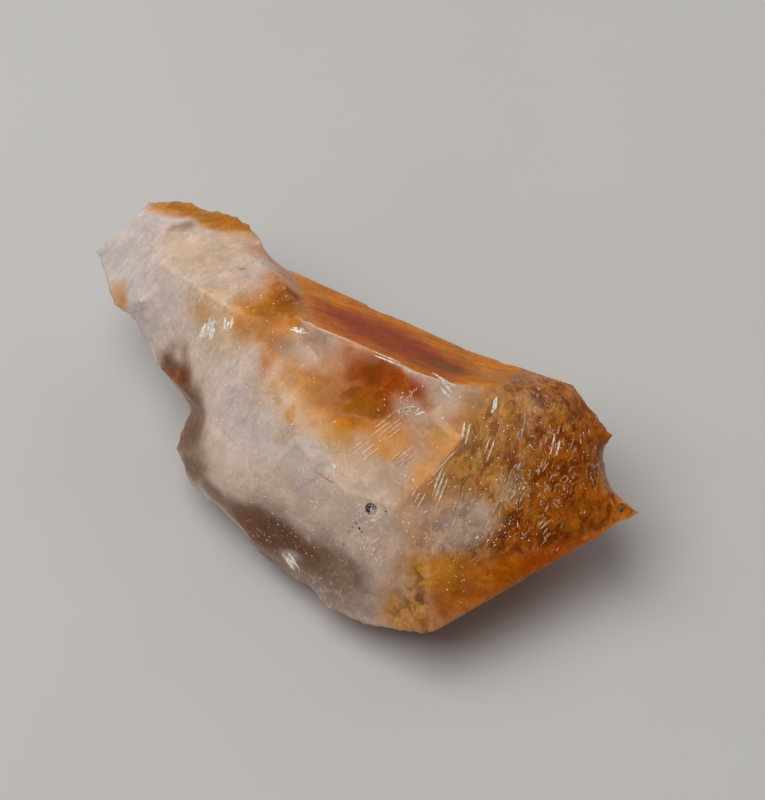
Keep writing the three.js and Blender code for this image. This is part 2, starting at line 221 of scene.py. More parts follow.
class CrystalStageSettings(bpy.types.PropertyGroup):
    """Camera, lights and floor."""

    azimuth: bpy.props.FloatProperty(
        name="Azimuth", description="Camera's turn round the crystal",
        default=math.radians(29), subtype="ANGLE")
    elevation: bpy.props.FloatProperty(
        name="Elevation", description="Camera's angle above the floor",
        default=math.radians(60), subtype="ANGLE")
    distance: bpy.props.FloatProperty(
        name="Distance", description="Camera's distance from its target",
        default=232 * MM, unit="LENGTH", precision=4)
    lens: bpy.props.FloatProperty(
        name="Lens", description="Focal length in millimetres", default=120)
    floor_colour: bpy.props.FloatVectorProperty(
        name="Floor", description="Pale floor", subtype="COLOR",
        default=(0.50, 0.492, 0.48), min=0, max=1)
    floor_width: bpy.props.FloatProperty(
        name="Floor width", description="Side of the floor", default=1.6, unit="LENGTH")
    key_power: bpy.props.FloatProperty(
        name="Key power", description="Watts of the large soft light", default=1.38)
    fill_power: bpy.props.FloatProperty(
        name="Fill power", description="Watts of the weaker light", default=0.2)
    world_strength: bpy.props.FloatProperty(
        name="Room light", description="Strength of the even light around", default=0.18)


# ------------------------------------------------------------------ small mesh helpers

def read_points(mesh):
    """All vertex places of a mesh as rows of x, y, z."""
    flat = np.empty(len(mesh.vertices) * 3)
    mesh.vertices.foreach_get("co", flat)
    return flat.reshape(-1, 3)


def read_normals(mesh):
    """All vertex normals of a mesh as rows of x, y, z."""
    flat = np.empty(len(mesh.vertices) * 3)
    mesh.vertices.foreach_get("normal", flat)
    return flat.reshape(-1, 3)


def write_points(mesh, points):
    """Puts the rows back as vertex places."""
    mesh.vertices.foreach_set("co", points.ravel())
    mesh.update()


def write_number(mesh, name, values):
    """Stores one number for each vertex, for the material to read."""
    layer = mesh.attributes.new(name, "FLOAT", "POINT")
    layer.data.foreach_set("value", values.astype(np.float32))


def write_colour(mesh, name, values):
    """Stores one colour for each vertex, for the material to read."""
    layer = mesh.attributes.new(name, "FLOAT_COLOR", "POINT")
    rows = np.hstack([values, np.ones((len(values), 1))])
    layer.data.foreach_set("color", rows.astype(np.float32).ravel())


def add_piece(name, mesh, material):
    """Links a finished mesh as a piece that rides on the crystal's body."""
    piece = bpy.data.objects.new(name, mesh)
    bpy.context.scene.collection.objects.link(piece)
    mesh.materials.append(material)
    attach(piece, BODY)
    return piece


# ------------------------------------------------------------------ the skin's shape

def coarse_copy():
    """The CAD solid's mesh as a bmesh with its loose triangles joined."""
    coarse = bmesh.new()
    coarse.from_mesh(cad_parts[NODE].data)
    bmesh.ops.remove_doubles(coarse, verts=coarse.verts, dist=0.002 * MM)
    return coarse


def growth_faces(coarse):
    """Marks each coarse triangle that lies in a large flat face. Labels spread across
    edges with no bend until nothing changes, and large labels are growth faces."""
    flat_bend = math.radians(0.8)
    least_area = 30 * MM * MM
    pairs = np.array([
        [face.index for face in edge.link_faces] for edge in coarse.edges
        if edge.calc_face_angle(math.pi) < flat_bend
    ])
    label = np.arange(len(coarse.faces))
    while True:
        lowest = np.minimum(label[pairs[:, 0]], label[pairs[:, 1]])
        spread = label.copy()
        np.minimum.at(spread, pairs[:, 0], lowest)
        np.minimum.at(spread, pairs[:, 1], lowest)
        if np.array_equal(spread, label):
            break
        label = spread
    area = np.array([face.calc_area() for face in coarse.faces])
    total = np.bincount(label, weights=area, minlength=len(label))
    return total[label] > least_area


def ridge_points(coarse, growth):
    """Points at short steps along every edge where two facets meet at a clear bend."""
    plain_bend, growth_bend = math.radians(46), math.radians(9)
    step = 0.25 * MM
    starts, ends = [], []
    for edge in coarse.edges:
        one, two = edge.link_faces
        beside_growth = growth[one.index] != growth[two.index]
        both_growth = growth[one.index] and growth[two.index]
        limit = growth_bend if beside_growth or both_growth else plain_bend
        if edge.calc_face_angle(0) > limit:
            starts.append(edge.verts[0].co)
            ends.append(edge.verts[1].co)
    starts, ends = np.array(starts), np.array(ends)
    count = int(np.ceil(np.linalg.norm(ends - starts, axis=1).max() / step)) + 1
    t = np.linspace(0, 1, count)[None, :, None]
    return (starts[:, None] * (1 - t) + ends[:, None] * t).reshape(-1, 3)


def distance_to(points, targets):
    """Distance from each point to the nearest target, in blocks that fit in memory."""
    nearest = np.empty(len(points))
    block = 2000
    square = (targets ** 2).sum(axis=1)
    for start in range(0, len(points), block):
        rows = points[start:start + block]
        gaps = square[None] - 2 * rows @ targets.T
        nearest[start:start + block] = gaps.min(axis=1) + (rows ** 2).sum(axis=1)
    return np.sqrt(np.maximum(nearest, 0))


def split_long_edges(fine, longest, passes, spot=(0, 0, 0), reach=math.inf):
    """Halves every edge that is too long and near the spot, a few times over, and keeps
    it all triangles."""
    spot = Vector(spot)
    for _ in range(passes):
        long_edges = [
            edge for edge in fine.edges
            if edge.calc_length() > longest
            and (edge.verts[0].co - spot).length < reach
            and (edge.verts[1].co - spot).length < reach
        ]
        if not long_edges:
            return
        bmesh.ops.subdivide_edges(fine, edges=long_edges, cuts=1, use_grid_fill=False)
        bmesh.ops.triangulate(fine, faces=[f for f in fine.faces if len(f.verts) > 3])


def hackle(points, size, seed):
    """Small flat breaks: each grain is a plane with a tilt of its own, so the height is
    the offset from the grain's middle times that tilt."""
    offset, character = nearest_grain(points, size, seed)
    return (offset * (character * 2 - 1)).sum(axis=1)


def skin_height(points, growth, ridge, crackle, shape):
    """How far each point moves out along its normal: lines across the long axis on
    growth faces, soft swells on breaks, hackle where the crystal is crackled, and
    shallow chips cut along the ridges."""
    bent = points[:, 0] + 0.6 * MM * layered_noise(points, 5 * MM, 3)
    lines = np.sin(bent / shape.growth_pitch * 2 * math.pi)
    lines = lines * np.maximum(0, smooth_noise(points, 4 * MM, 5))
    growth_height = shape.growth_height * lines

    coarse_breaks = hackle(points, shape.hackle_size, 21)
    fine_breaks = hackle(points, shape.hackle_size * 0.45, 31)
    swell = layered_noise(points, 3.5 * MM, 41)
    rough = 0.12 + 0.88 * crackle
    break_height = shape.hackle_height * (rough * (coarse_breaks + 0.5 * fine_breaks) + swell)

    height = growth * growth_height + (1 - growth) * break_height
    chipped = fade(layered_noise(points, 1.8 * MM, 51), 0.1, 0.5)
    return height - shape.chip_depth * chipped * ridge ** 2


def pit_hollow(points, shape):
    """1 at the middle of the small round pit and 0 from its rim outwards, as the bowl
    1 - (distance / radius)^2, and how far each point lies to its left."""
    gap = points - place(*PIT)
    distance = np.linalg.norm(gap, axis=1) / (shape.pit_width / 2)
    return np.maximum(0, 1 - distance ** 2), gap @ PIT_LEFT / (shape.pit_width / 2)


# ------------------------------------------------------------------ the skin's zones

# Quartz of each sort: how clear it is, from 0 for milk to 1 for glass.
CLARITY = {
    "frost": 0.02, "milk": 0.06, "cream": 0.22, "pink": 0.14, "mauve_and_shade": 0.30,
    "honey": 0.52, "amber": 0.86, "rust": 0.88, "red": 0.92, "smoke_and_shade": 0.60,
}

# Where each sort lies, from the broad to the small: sort, place in the crystal's box,
# reach in millimetres along X, Y and Z, and strength.
PATCHES = (
    ("frost", (-0.20, -0.36, 0.69), (6.5, 4.0, 4.5), 0.60),   # bluish middle of the break
    ("cream", (-0.65, 0.55, 0.73), (5.0, 3.0, 3.0), 0.45),    # warm head
    ("cream", (-0.44, 0.12, 0.80), (5.2, 3.0, 3.4), 0.70),    # warm band below the head
    ("honey", (-0.52, 0.16, 0.72), (1.6, 1.3, 1.6), 0.35),    # warmest part of that band
    # The mauve and smoke of the near end are partly brownish quartz and partly painted shade on its
    # steep near faces.
    ("mauve_and_shade", (0.12, -0.88, 0.35), (9.0, 3.2, 4.2), 0.80),    # near end of the break
    ("smoke_and_shade", (0.02, -0.86, 0.36), (5.6, 1.8, 2.4), 0.40),    # brown glassy part of it
    ("honey", (0.50, -0.92, 0.32), (2.6, 2.0, 2.8), 0.70),    # toe
    ("honey", (-0.70, 0.90, 0.64), (8.0, 2.1, 3.0), 0.90),    # rim of the crown
    ("amber", (-0.70, 0.94, 0.62), (7.5, 2.0, 2.9), 0.55),    # deeper honey on that rim
    ("smoke_and_shade", (-0.75, 0.70, 0.71), (1.2, 1.1, 1.3), 0.60),    # hollow in the crown
    ("pink", (-0.39, 0.52, 0.83), (3.4, 3.0, 2.6), 0.60),     # knee
    ("frost", (-0.40, 0.64, 0.78), (1.9, 1.6, 2.0), 0.55),    # bluish top of the knee
    ("honey", (-0.27, 0.22, 0.88), (3.8, 3.2, 3.2), 0.95),    # slope below the knee
    ("honey", (-0.27, 0.62, 0.78), (2.4, 2.6, 3.6), 0.80),    # behind the knee
    ("amber", (-0.26, 0.24, 0.87), (3.4, 3.0, 3.0), 0.40),    # deeper honey on that slope
    ("smoke_and_shade", (-0.18, 0.08, 0.87), (2.1, 0.9, 1.4), 0.75),    # brown spot on that slope
    ("amber", (-0.21, -0.04, 0.84), (1.0, 1.6, 1.4), 0.70),   # drip below it
    ("cream", (0.10, -0.18, 0.85), (9.0, 4.2, 4.0), 0.85),    # warm ground of the break
    ("honey", (0.10, -0.07, 0.88), (7.8, 3.7, 3.6), 1.00),    # golden part of the break
    ("amber", (0.10, -0.05, 0.89), (6.8, 2.8, 3.0), 0.70),    # deeper below the ridge
    ("rust", (0.16, 0.08, 0.94), (4.2, 1.6, 2.4), 0.90),      # orange beside the crest
    ("rust", (0.21, 0.14, 0.96), (2.4, 1.0, 1.6), 0.75),      # deepest of it
    ("pink", (-0.08, 0.10, 0.91), (3.4, 1.6, 2.6), 0.70),     # pink cloud at the ridge
    ("frost", (0.27, 0.00, 0.90), (2.2, 1.2, 1.5), 0.60),     # white cloud by the crest
    ("pink", (0.34, -0.24, 0.79), (4.8, 3.0, 2.6), 0.90),     # shelf
    ("honey", (0.28, -0.19, 0.81), (2.2, 1.3, 1.5), 0.65),    # stain in the shelf
    ("pink", (0.37, -0.27, 0.78), (2.4, 1.8, 1.8), 0.55),     # paler foot of the shelf
    ("honey", (-0.05, -0.31, 0.79), (0.7, 0.7, 0.7), 0.75),   # small stain
    ("honey", (0.40, -0.36, 0.74), (1.6, 3.4, 2.4), 0.45),    # golden foot of the shelf
    ("frost", (0.06, -0.50, 0.71), (2.6, 2.2, 2.6), 0.60),    # glittering white
    # The smoke and mauve patches from here to the brown lower rim darken the near, lower side: partly
    # brownish quartz, partly painted shade.
    ("smoke_and_shade", (-0.02, -0.84, 0.34), (6.6, 1.6, 2.6), 0.80),    # under the near rim
    ("mauve_and_shade", (-0.36, -0.54, 0.36), (3.2, 2.6, 3.4), 0.75),   # hip
    ("smoke_and_shade", (-0.43, -0.36, 0.30), (2.2, 2.0, 3.0), 0.85),   # waist
    ("smoke_and_shade", (-0.48, -0.26, 0.44), (3.4, 2.6, 3.4), 0.92),   # flank
    ("smoke_and_shade", (-0.44, -0.27, 0.40), (1.7, 1.5, 2.4), 0.90),   # strip beside it
    ("smoke_and_shade", (-0.38, -0.40, 0.42), (1.6, 1.6, 2.4), 0.85),
    ("smoke_and_shade", (-0.53, -0.15, 0.48), (3.0, 1.9, 2.4), 0.95),   # its upper end
    ("rust", (-0.51, -0.19, 0.46), (2.2, 1.3, 1.5), 0.50),    # reddish middle of the strip
    ("smoke_and_shade", (-0.36, -0.60, 0.30), (2.2, 1.3, 1.8), 0.70),   # brown rim below the hip
    ("smoke_and_shade", (-0.24, -0.72, 0.31), (2.4, 1.1, 1.5), 0.75),
    ("smoke_and_shade", (-0.08, -0.81, 0.27), (3.2, 1.0, 1.5), 0.75),
    ("rust", (-0.06, -0.81, 0.29), (2.0, 0.9, 1.0), 0.35),    # reddish part of that rim
    ("honey", (-0.85, 0.16, 0.46), (1.6, 1.3, 1.6), 0.70),    # chip at the jaw
    ("smoke_and_shade", (-0.14, -0.90, 0.14), (8.0, 2.4, 1.6), 0.75),   # brown lower rim
    ("frost", (0.08, -0.88, 0.26), (1.2, 0.8, 0.9), 0.60),    # pale chip under the rim
    ("amber", (0.96, -0.05, 0.60), (13.6, 30.0, 30.0), 1.00),  # whole termination
    ("honey", (0.49, 0.10, 0.78), (4.0, 6.5, 4.6), 0.65),     # golden start of it
    ("rust", (0.76, 0.30, 0.60), (4.8, 5.0, 3.4), 0.40),      # deeper middle of it
    ("pink", (0.56, -0.36, 0.63), (3.6, 3.3, 2.9), 0.90),    # milky window in it
    ("milk", (0.59, -0.30, 0.61), (2.6, 2.3, 2.2), 0.35),     # paler middle of that
    ("cream", (0.64, 0.03, 0.67), (1.9, 1.5, 1.7), 0.75),     # healed crack
    ("honey", (0.57, -0.66, 0.51), (3.4, 2.4, 2.0), 0.85),    # start of the lower band
    ("amber", (0.66, -0.56, 0.42), (5.0, 3.4, 1.8), 0.70),    # deeper along its edge
    ("rust", (0.86, -0.10, 0.40), (7.2, 5.4, 2.4), 0.90),     # end of the lower band
    ("rust", (0.73, -0.15, 0.52), (1.9, 1.5, 1.5), 0.75),     # brown spot above it
    ("rust", (0.80, 0.74, 0.57), (3.6, 3.0, 3.2), 0.60),      # rim by the notch
    ("smoke_and_shade", (0.59, 0.66, 0.73), (1.5, 1.0, 1.2), 0.60),     # brown spot in the cap
    ("smoke_and_shade", (0.95, 0.38, 0.49), (0.5, 0.5, 0.5), 0.90),     # dark spot near the tip
    ("amber", (-0.26, 0.55, 0.78), (3.6, 4.2, 4.2), 0.70),    # start of the prism face
    ("rust", (0.08, 0.48, 0.82), (9.0, 4.6, 5.0), 0.95),      # length of the prism face
    ("red", (0.08, 0.50, 0.80), (7.6, 3.6, 4.0), 0.75),       # deep middle of it
    ("smoke_and_shade", (0.10, 0.48, 0.82), (9.0, 4.2, 4.6), 0.14),     # smoky cast over all of it
    ("smoke_and_shade", (0.31, 0.48, 0.81), (2.3, 1.6, 2.0), 0.90),     # dark spot on it
    ("cream", (0.46, 0.66, 0.75), (3.0, 2.2, 2.0), 0.22),     # pale cap
    ("smoke_and_shade", (0.46, 0.66, 0.75), (3.6, 2.6, 2.4), 0.30),     # its dull ground
)

PIT = (0.30, -0.58, 0.675)
# The side of the pit that its painted shadow lies on.
PIT_LEFT = np.array([-0.87, -0.48, 0.1])


def wandered(points):
    """The points pushed about by soft noise, so that a patch laid there has an uneven
    edge with streaks in it."""
    push = np.stack([layered_noise(points, 3.4 * MM, 201 + axis) for axis in range(3)], axis=1)
    fine = np.stack([smooth_noise(points, 1.1 * MM, 211 + axis) for axis in range(3)], axis=1)
    return points + 0.9 * MM * push + 0.3 * MM * fine


def patch_weight(points, middle, reach, wander):
    """1 well inside an egg shape and 0 outside it, with its edge pushed about."""
    gap = (points - place(*middle)) / (np.array(reach) * MM)
    return fade(np.linalg.norm(gap, axis=1) + wander, 1.3, 0.45)


def skin_zones(points, normals):
    """Clarity and colour of each point: milk, frost towards the root, amber on the far
    side and the underside, and then each patch laid over what is there, some of them
    partly painted shade, and last the pit's darkening with its painted shadow."""
    shape = bpy.context.scene.crystal_shape
    colours = bpy.context.scene.crystal_colours
    low, high = np.array(CAD_LOW), np.array(CAD_HIGH)
    along = (points[:, 0] - low[0]) / (high[0] - low[0])
    turned_away = np.maximum(fade(normals[:, 1], 0.15, 0.6), fade(normals[:, 2], -0.2, -0.6))
    layers = [
        ("frost", fade(along, 0.30, 0.08)),
        ("amber", turned_away * fade(along, 0.15, 0.4)),
    ]
    pushed = wandered(points)
    for number, (sort, middle, reach, strength) in enumerate(PATCHES):
        wander = 0.22 * layered_noise(points, 1.8 * MM, 61 + number, layers=2)
        layers.append((sort, strength * patch_weight(pushed, middle, reach, wander)))
    hollow, left = pit_hollow(points, shape)
    # The pit's hollow is darkened: partly its dark lining, partly painted shade in the recess.
    layers.append(("mauve_and_shade", 0.6 * fade(hollow, 0.0, 0.3)))
    # Its left side turns black: a painted shadow in the pit, over the lining.
    layers.append(("soot", fade(hollow, 0.02, 0.2) * fade(left, -0.1, 0.15)))

    clarity = np.full(len(points), CLARITY["milk"])
    tint = np.tile(np.array(colours.milk), (len(points), 1))
    for sort, weight in layers:
        clarity += (CLARITY.get(sort, 0) - clarity) * weight
        tint += (np.array(getattr(colours, sort)) - tint) * weight[:, None]
    return clarity, tint


def relax(mesh, points, freedom, passes):
    """Moves each point towards the middle of its neighbours, as far as it is free to."""
    ends = np.empty(len(mesh.edges) * 2, dtype=np.int64)
    mesh.edges.foreach_get("vertices", ends)
    one, two = ends.reshape(-1, 2).T
    count = np.bincount(ends, minlength=len(points))[:, None]
    for _ in range(passes):
        total = np.stack([
            np.bincount(one, weights=points[two, axis], minlength=len(points))
            + np.bincount(two, weights=points[one, axis], minlength=len(points))
            for axis in range(3)
        ], axis=1)
        points = points + (total / count - points) * freedom[:, None]
    return points


# How the skin is evened out: how often, how far towards its neighbours' middle each
# time, and how far from a ridge it is fully free to move.
RELAX_PASSES = 110
RELAX_SHARE = 0.6
RELAX_REACH = 1.2 * MM
# Where the crackled end begins and is full, from -1 to 1 along the crystal.
CRACKLE_START, CRACKLE_FULL = 0.40, 0.52
# The relief grows from nothing at the floor to its whole height this far above it.
RESTING_BAND = 0.5 * MM
SHARP_BEND = math.radians(38)


def grow_skin():
    """Fine copy of the CAD solid, with its relief and its zones. Its points first move
    towards their neighbours, but not on growth faces or ridges, and then along their
    normals by skin_height less the pit's depth x pit_hollow, times how far they are
    clear of the floor."""
    shape = bpy.context.scene.crystal_shape
    coarse = coarse_copy()
    growth = growth_faces(coarse)
    ridges = ridge_points(coarse, growth)
    marks = coarse.faces.layers.float.new("growth")
    for face in coarse.faces:
        face[marks] = float(growth[face.index])
    split_long_edges(coarse, shape.mesh_step, 6)
    split_long_edges(coarse, shape.pit_step, 2, place(*PIT), 1.2 * shape.pit_width)

    mesh = bpy.data.meshes.new("crystal_skin")
    coarse.to_mesh(mesh)
    coarse.free()
    points = read_points(mesh)
    corners = np.empty(len(mesh.loops), dtype=np.int64)
    mesh.loops.foreach_get("vertex_index", corners)
    face_growth = np.empty(len(mesh.polygons))
    mesh.attributes["growth"].data.foreach_get("value", face_growth)
    around = np.bincount(corners, minlength=len(points))
    sums = np.bincount(corners, weights=np.repeat(face_growth, 3), minlength=len(points))
    growth_here = sums / around
    mesh.attributes.remove(mesh.attributes["growth"])

    distance = distance_to(points, ridges)
    ridge = np.exp(-(distance / shape.ridge_width) ** 2)
    freedom = RELAX_SHARE * (1 - growth_here) * fade(distance, 0, RELAX_REACH)
    freedom[growth_here > 0] = 0
    points = relax(mesh, points, freedom, RELAX_PASSES)
    write_points(mesh, points)
    normals = read_normals(mesh)
    clarity, tint = skin_zones(points, normals)
    start, full = place(CRACKLE_START, 0, 0)[0], place(CRACKLE_FULL, 0, 0)[0]
    crackle = fade(points[:, 0], start, full)
    height = skin_height(points, growth_here, ridge, crackle, shape)
    clear_of_floor = fade(points[:, 2], 0, RESTING_BAND)
    hollow, _ = pit_hollow(points, shape)
    height -= shape.pit_depth * hollow
    points = points + normals * (height * clear_of_floor)[:, None]
    points[:, 2] = np.maximum(points[:, 2], CAD_LOW[2])
    write_points(mesh, points)
    write_number(mesh, "growth", growth_here)
    write_number(mesh, "ridge", ridge)
    write_number(mesh, "clarity", clarity)
    write_number(mesh, "crackle", crackle)
    write_colour(mesh, "tint", tint)
    mesh.shade_smooth()
    mesh.set_sharp_from_angle(angle=SHARP_BEND)
    return mesh


# ------------------------------------------------------------------ node helpers

# Directions that streaks run: along the prism, up the big break, and across the end.
LENGTHWISE = (0.95, 0.23, -0.21)
UPSLOPE = (0.40, 0.80, 0.45)
CRACKLED = (-0.22, 0.96, 0.17)


class NodeTable:
    """Adds and links the nodes of one material."""

    def __init__(self, name):
        self.material = bpy.data.materials.new(name)
        self.material.use_nodes = True
        self.tree = self.material.node_tree
        self.tree.nodes.clear()

    def add(self, kind, settings=None, **inputs):
        """A node, its settings, and its inputs by name: a value or another's output."""
        node = self.tree.nodes.new(kind)
        for key, value in (settings or {}).items():
            setattr(node, key, value)
        for key, value in inputs.items():
            socket = node.inputs[int(key[1:])] if key[1:].isdigit() else node.inputs[key]
            if isinstance(value, bpy.types.NodeSocket):
                self.tree.links.new(value, socket)
            else:
                socket.default_value = value
        return node

    def attribute(self, name, output="Fac"):
        """A number or colour that the mesh holds."""
        return self.add("ShaderNodeAttribute", {"attribute_name": name}).outputs[output]

    def math(self, operation, one, two=0.0):
        """One number worked out of two."""
        return self.add("ShaderNodeMath", {"operation": operation}, _0=one, _1=two).outputs[0]

    def remap(self, value, low, high, to_low=0.0, to_high=1.0):
        """A number taken smoothly from one range to another."""
        settings = {"interpolation_type": "SMOOTHSTEP"}
        node = self.add("ShaderNodeMapRange", settings, _0=value, _1=low, _2=high,
                        _3=to_low, _4=to_high)
        return node.outputs[0]

    def blend(self, factor, one, two, mode="MIX"):
        """Two colours mixed by a factor."""
        settings = {"data_type": "RGBA", "blend_type": mode}
        return self.add("ShaderNodeMix", settings, _0=factor, _6=one, _7=two).outputs[2]

    def tinted(self, factor, base, colour):
        """A base colour multiplied by another, as far as a factor says."""
        return self.blend(factor, base, self.blend(1.0, base, colour, mode="MULTIPLY"))

    def stretched(self, places, direction, stretch):
        """Places squeezed along a direction, so that a pattern on them runs out long."""
        turn = Vector((1, 0, 0)).rotation_difference(Vector(direction)).to_euler()
        node = self.add("ShaderNodeMapping", {"vector_type": "TEXTURE"}, Vector=places,
                        Rotation=turn, Scale=(stretch, 1, 1))
        return node.outputs[0]

    def times(self, *values):
        """Numbers multiplied together."""
        result = values[0]
        for value in values[1:]:
            result = self.math("MULTIPLY", result, value)
        return result

    def noise(self, places, size, detail=4.0, rough=0.55, twist=0.0):
        """Cloudy noise whose features are about one size across, in metres."""
        node = self.add("ShaderNodeTexNoise", None, Vector=places, Scale=1 / size,
                        Detail=detail, Roughness=rough, Distortion=twist)
        return node.outputs["Fac"]

    def cells(self, places, size):
        """Distance to the nearest of scattered points, as a share of their usual gap. The
        gap is given in metres."""
        node = self.add("ShaderNodeTexVoronoi", None, Vector=places, Scale=1 / size)
        return node.outputs["Distance"]

    def finish(self, surface, volume=None):
        """Puts the shaders on the material's output."""
        output = self.add("ShaderNodeOutputMaterial")
        self.tree.links.new(surface, output.inputs["Surface"])
        if volume is not None:
            self.tree.links.new(volume, output.inputs["Volume"])
        return self.material


# Marks in the quartz, among them a painted glow, painted glints and a painted highlight:
# whether each is laid over its colour or multiplied into it, how strong it is, and its own colour.
MARKS = {
    "stain": ("MULTIPLY", 0.60, (0.50, 0.30, 0.16, 1)),
    "glow": ("MULTIPLY", 0.45, (1.45, 1.70, 2.00, 1)),
    # Glow: paler spots in clear quartz, a painted glow.
    "wisp": ("MIX", 0.32, (0.80, 0.74, 0.70, 1)),
    "fibre": ("MIX", 0.22, (0.84, 0.76, 0.71, 1)),
    "dark_fibre": ("MULTIPLY", 0.25, (0.72, 0.60, 0.52, 1)),
    "streak": ("MIX", 0.22, (0.90, 0.60, 0.14, 1)),
    "dark_streak": ("MULTIPLY", 0.35, (0.60, 0.40, 0.25, 1)),
    # Crack: bright gold lines, painted glints of light off the cracks.
    "crack": ("MIX", 0.65, (0.92, 0.60, 0.10, 1)),
    # Worn: a pale band on the ridges, partly real wear and partly a painted highlight.
    "worn_and_highlit": ("MIX", 0.18, (0.80, 0.62, 0.42, 1)),
    # Tiny pale dots: painted glints.
    "painted_glint": ("MIX", 0.35, (0.92, 0.84, 0.72, 1)),
}
# Darkest and palest tint of the growth faces' lines, and of the crackled end's folds, whose
# tint is partly the flakes' own tone and partly painted light and shade on their curves.
LINE_TINTS = (0.76, 0.64, 0.56, 1), (1.08, 1.12, 1.12, 1)
FOLD_TONE_AND_SHADE_TINTS = (0.55, 0.38, 0.25, 1), (1.4, 1.55, 1.3, 1)
# How much light milk and clear quartz let through, and the share of that which growth
# faces let through.
MILK_THROUGH, CLEAR_THROUGH = 0.05, 0.68
GROWTH_THROUGH = 0.5
# Heights of the fine relief that only shades the skin.
GRAIN_BUMP = 0.015 * MM
LINE_BUMP = 0.015 * MM
FOLD_BUMP = 0.12 * MM


def marked(t, base, kind, *where):
    """The base colour with one kind of mark, and the mark's weight: the numbers that say
    where it lies, multiplied together and by its strength."""
    mode, strength, colour = MARKS[kind]
    weight = t.times(*where, strength)
    if mode == "MULTIPLY":
        return t.tinted(weight, base, colour), weight
    return t.blend(weight, base, colour), weight


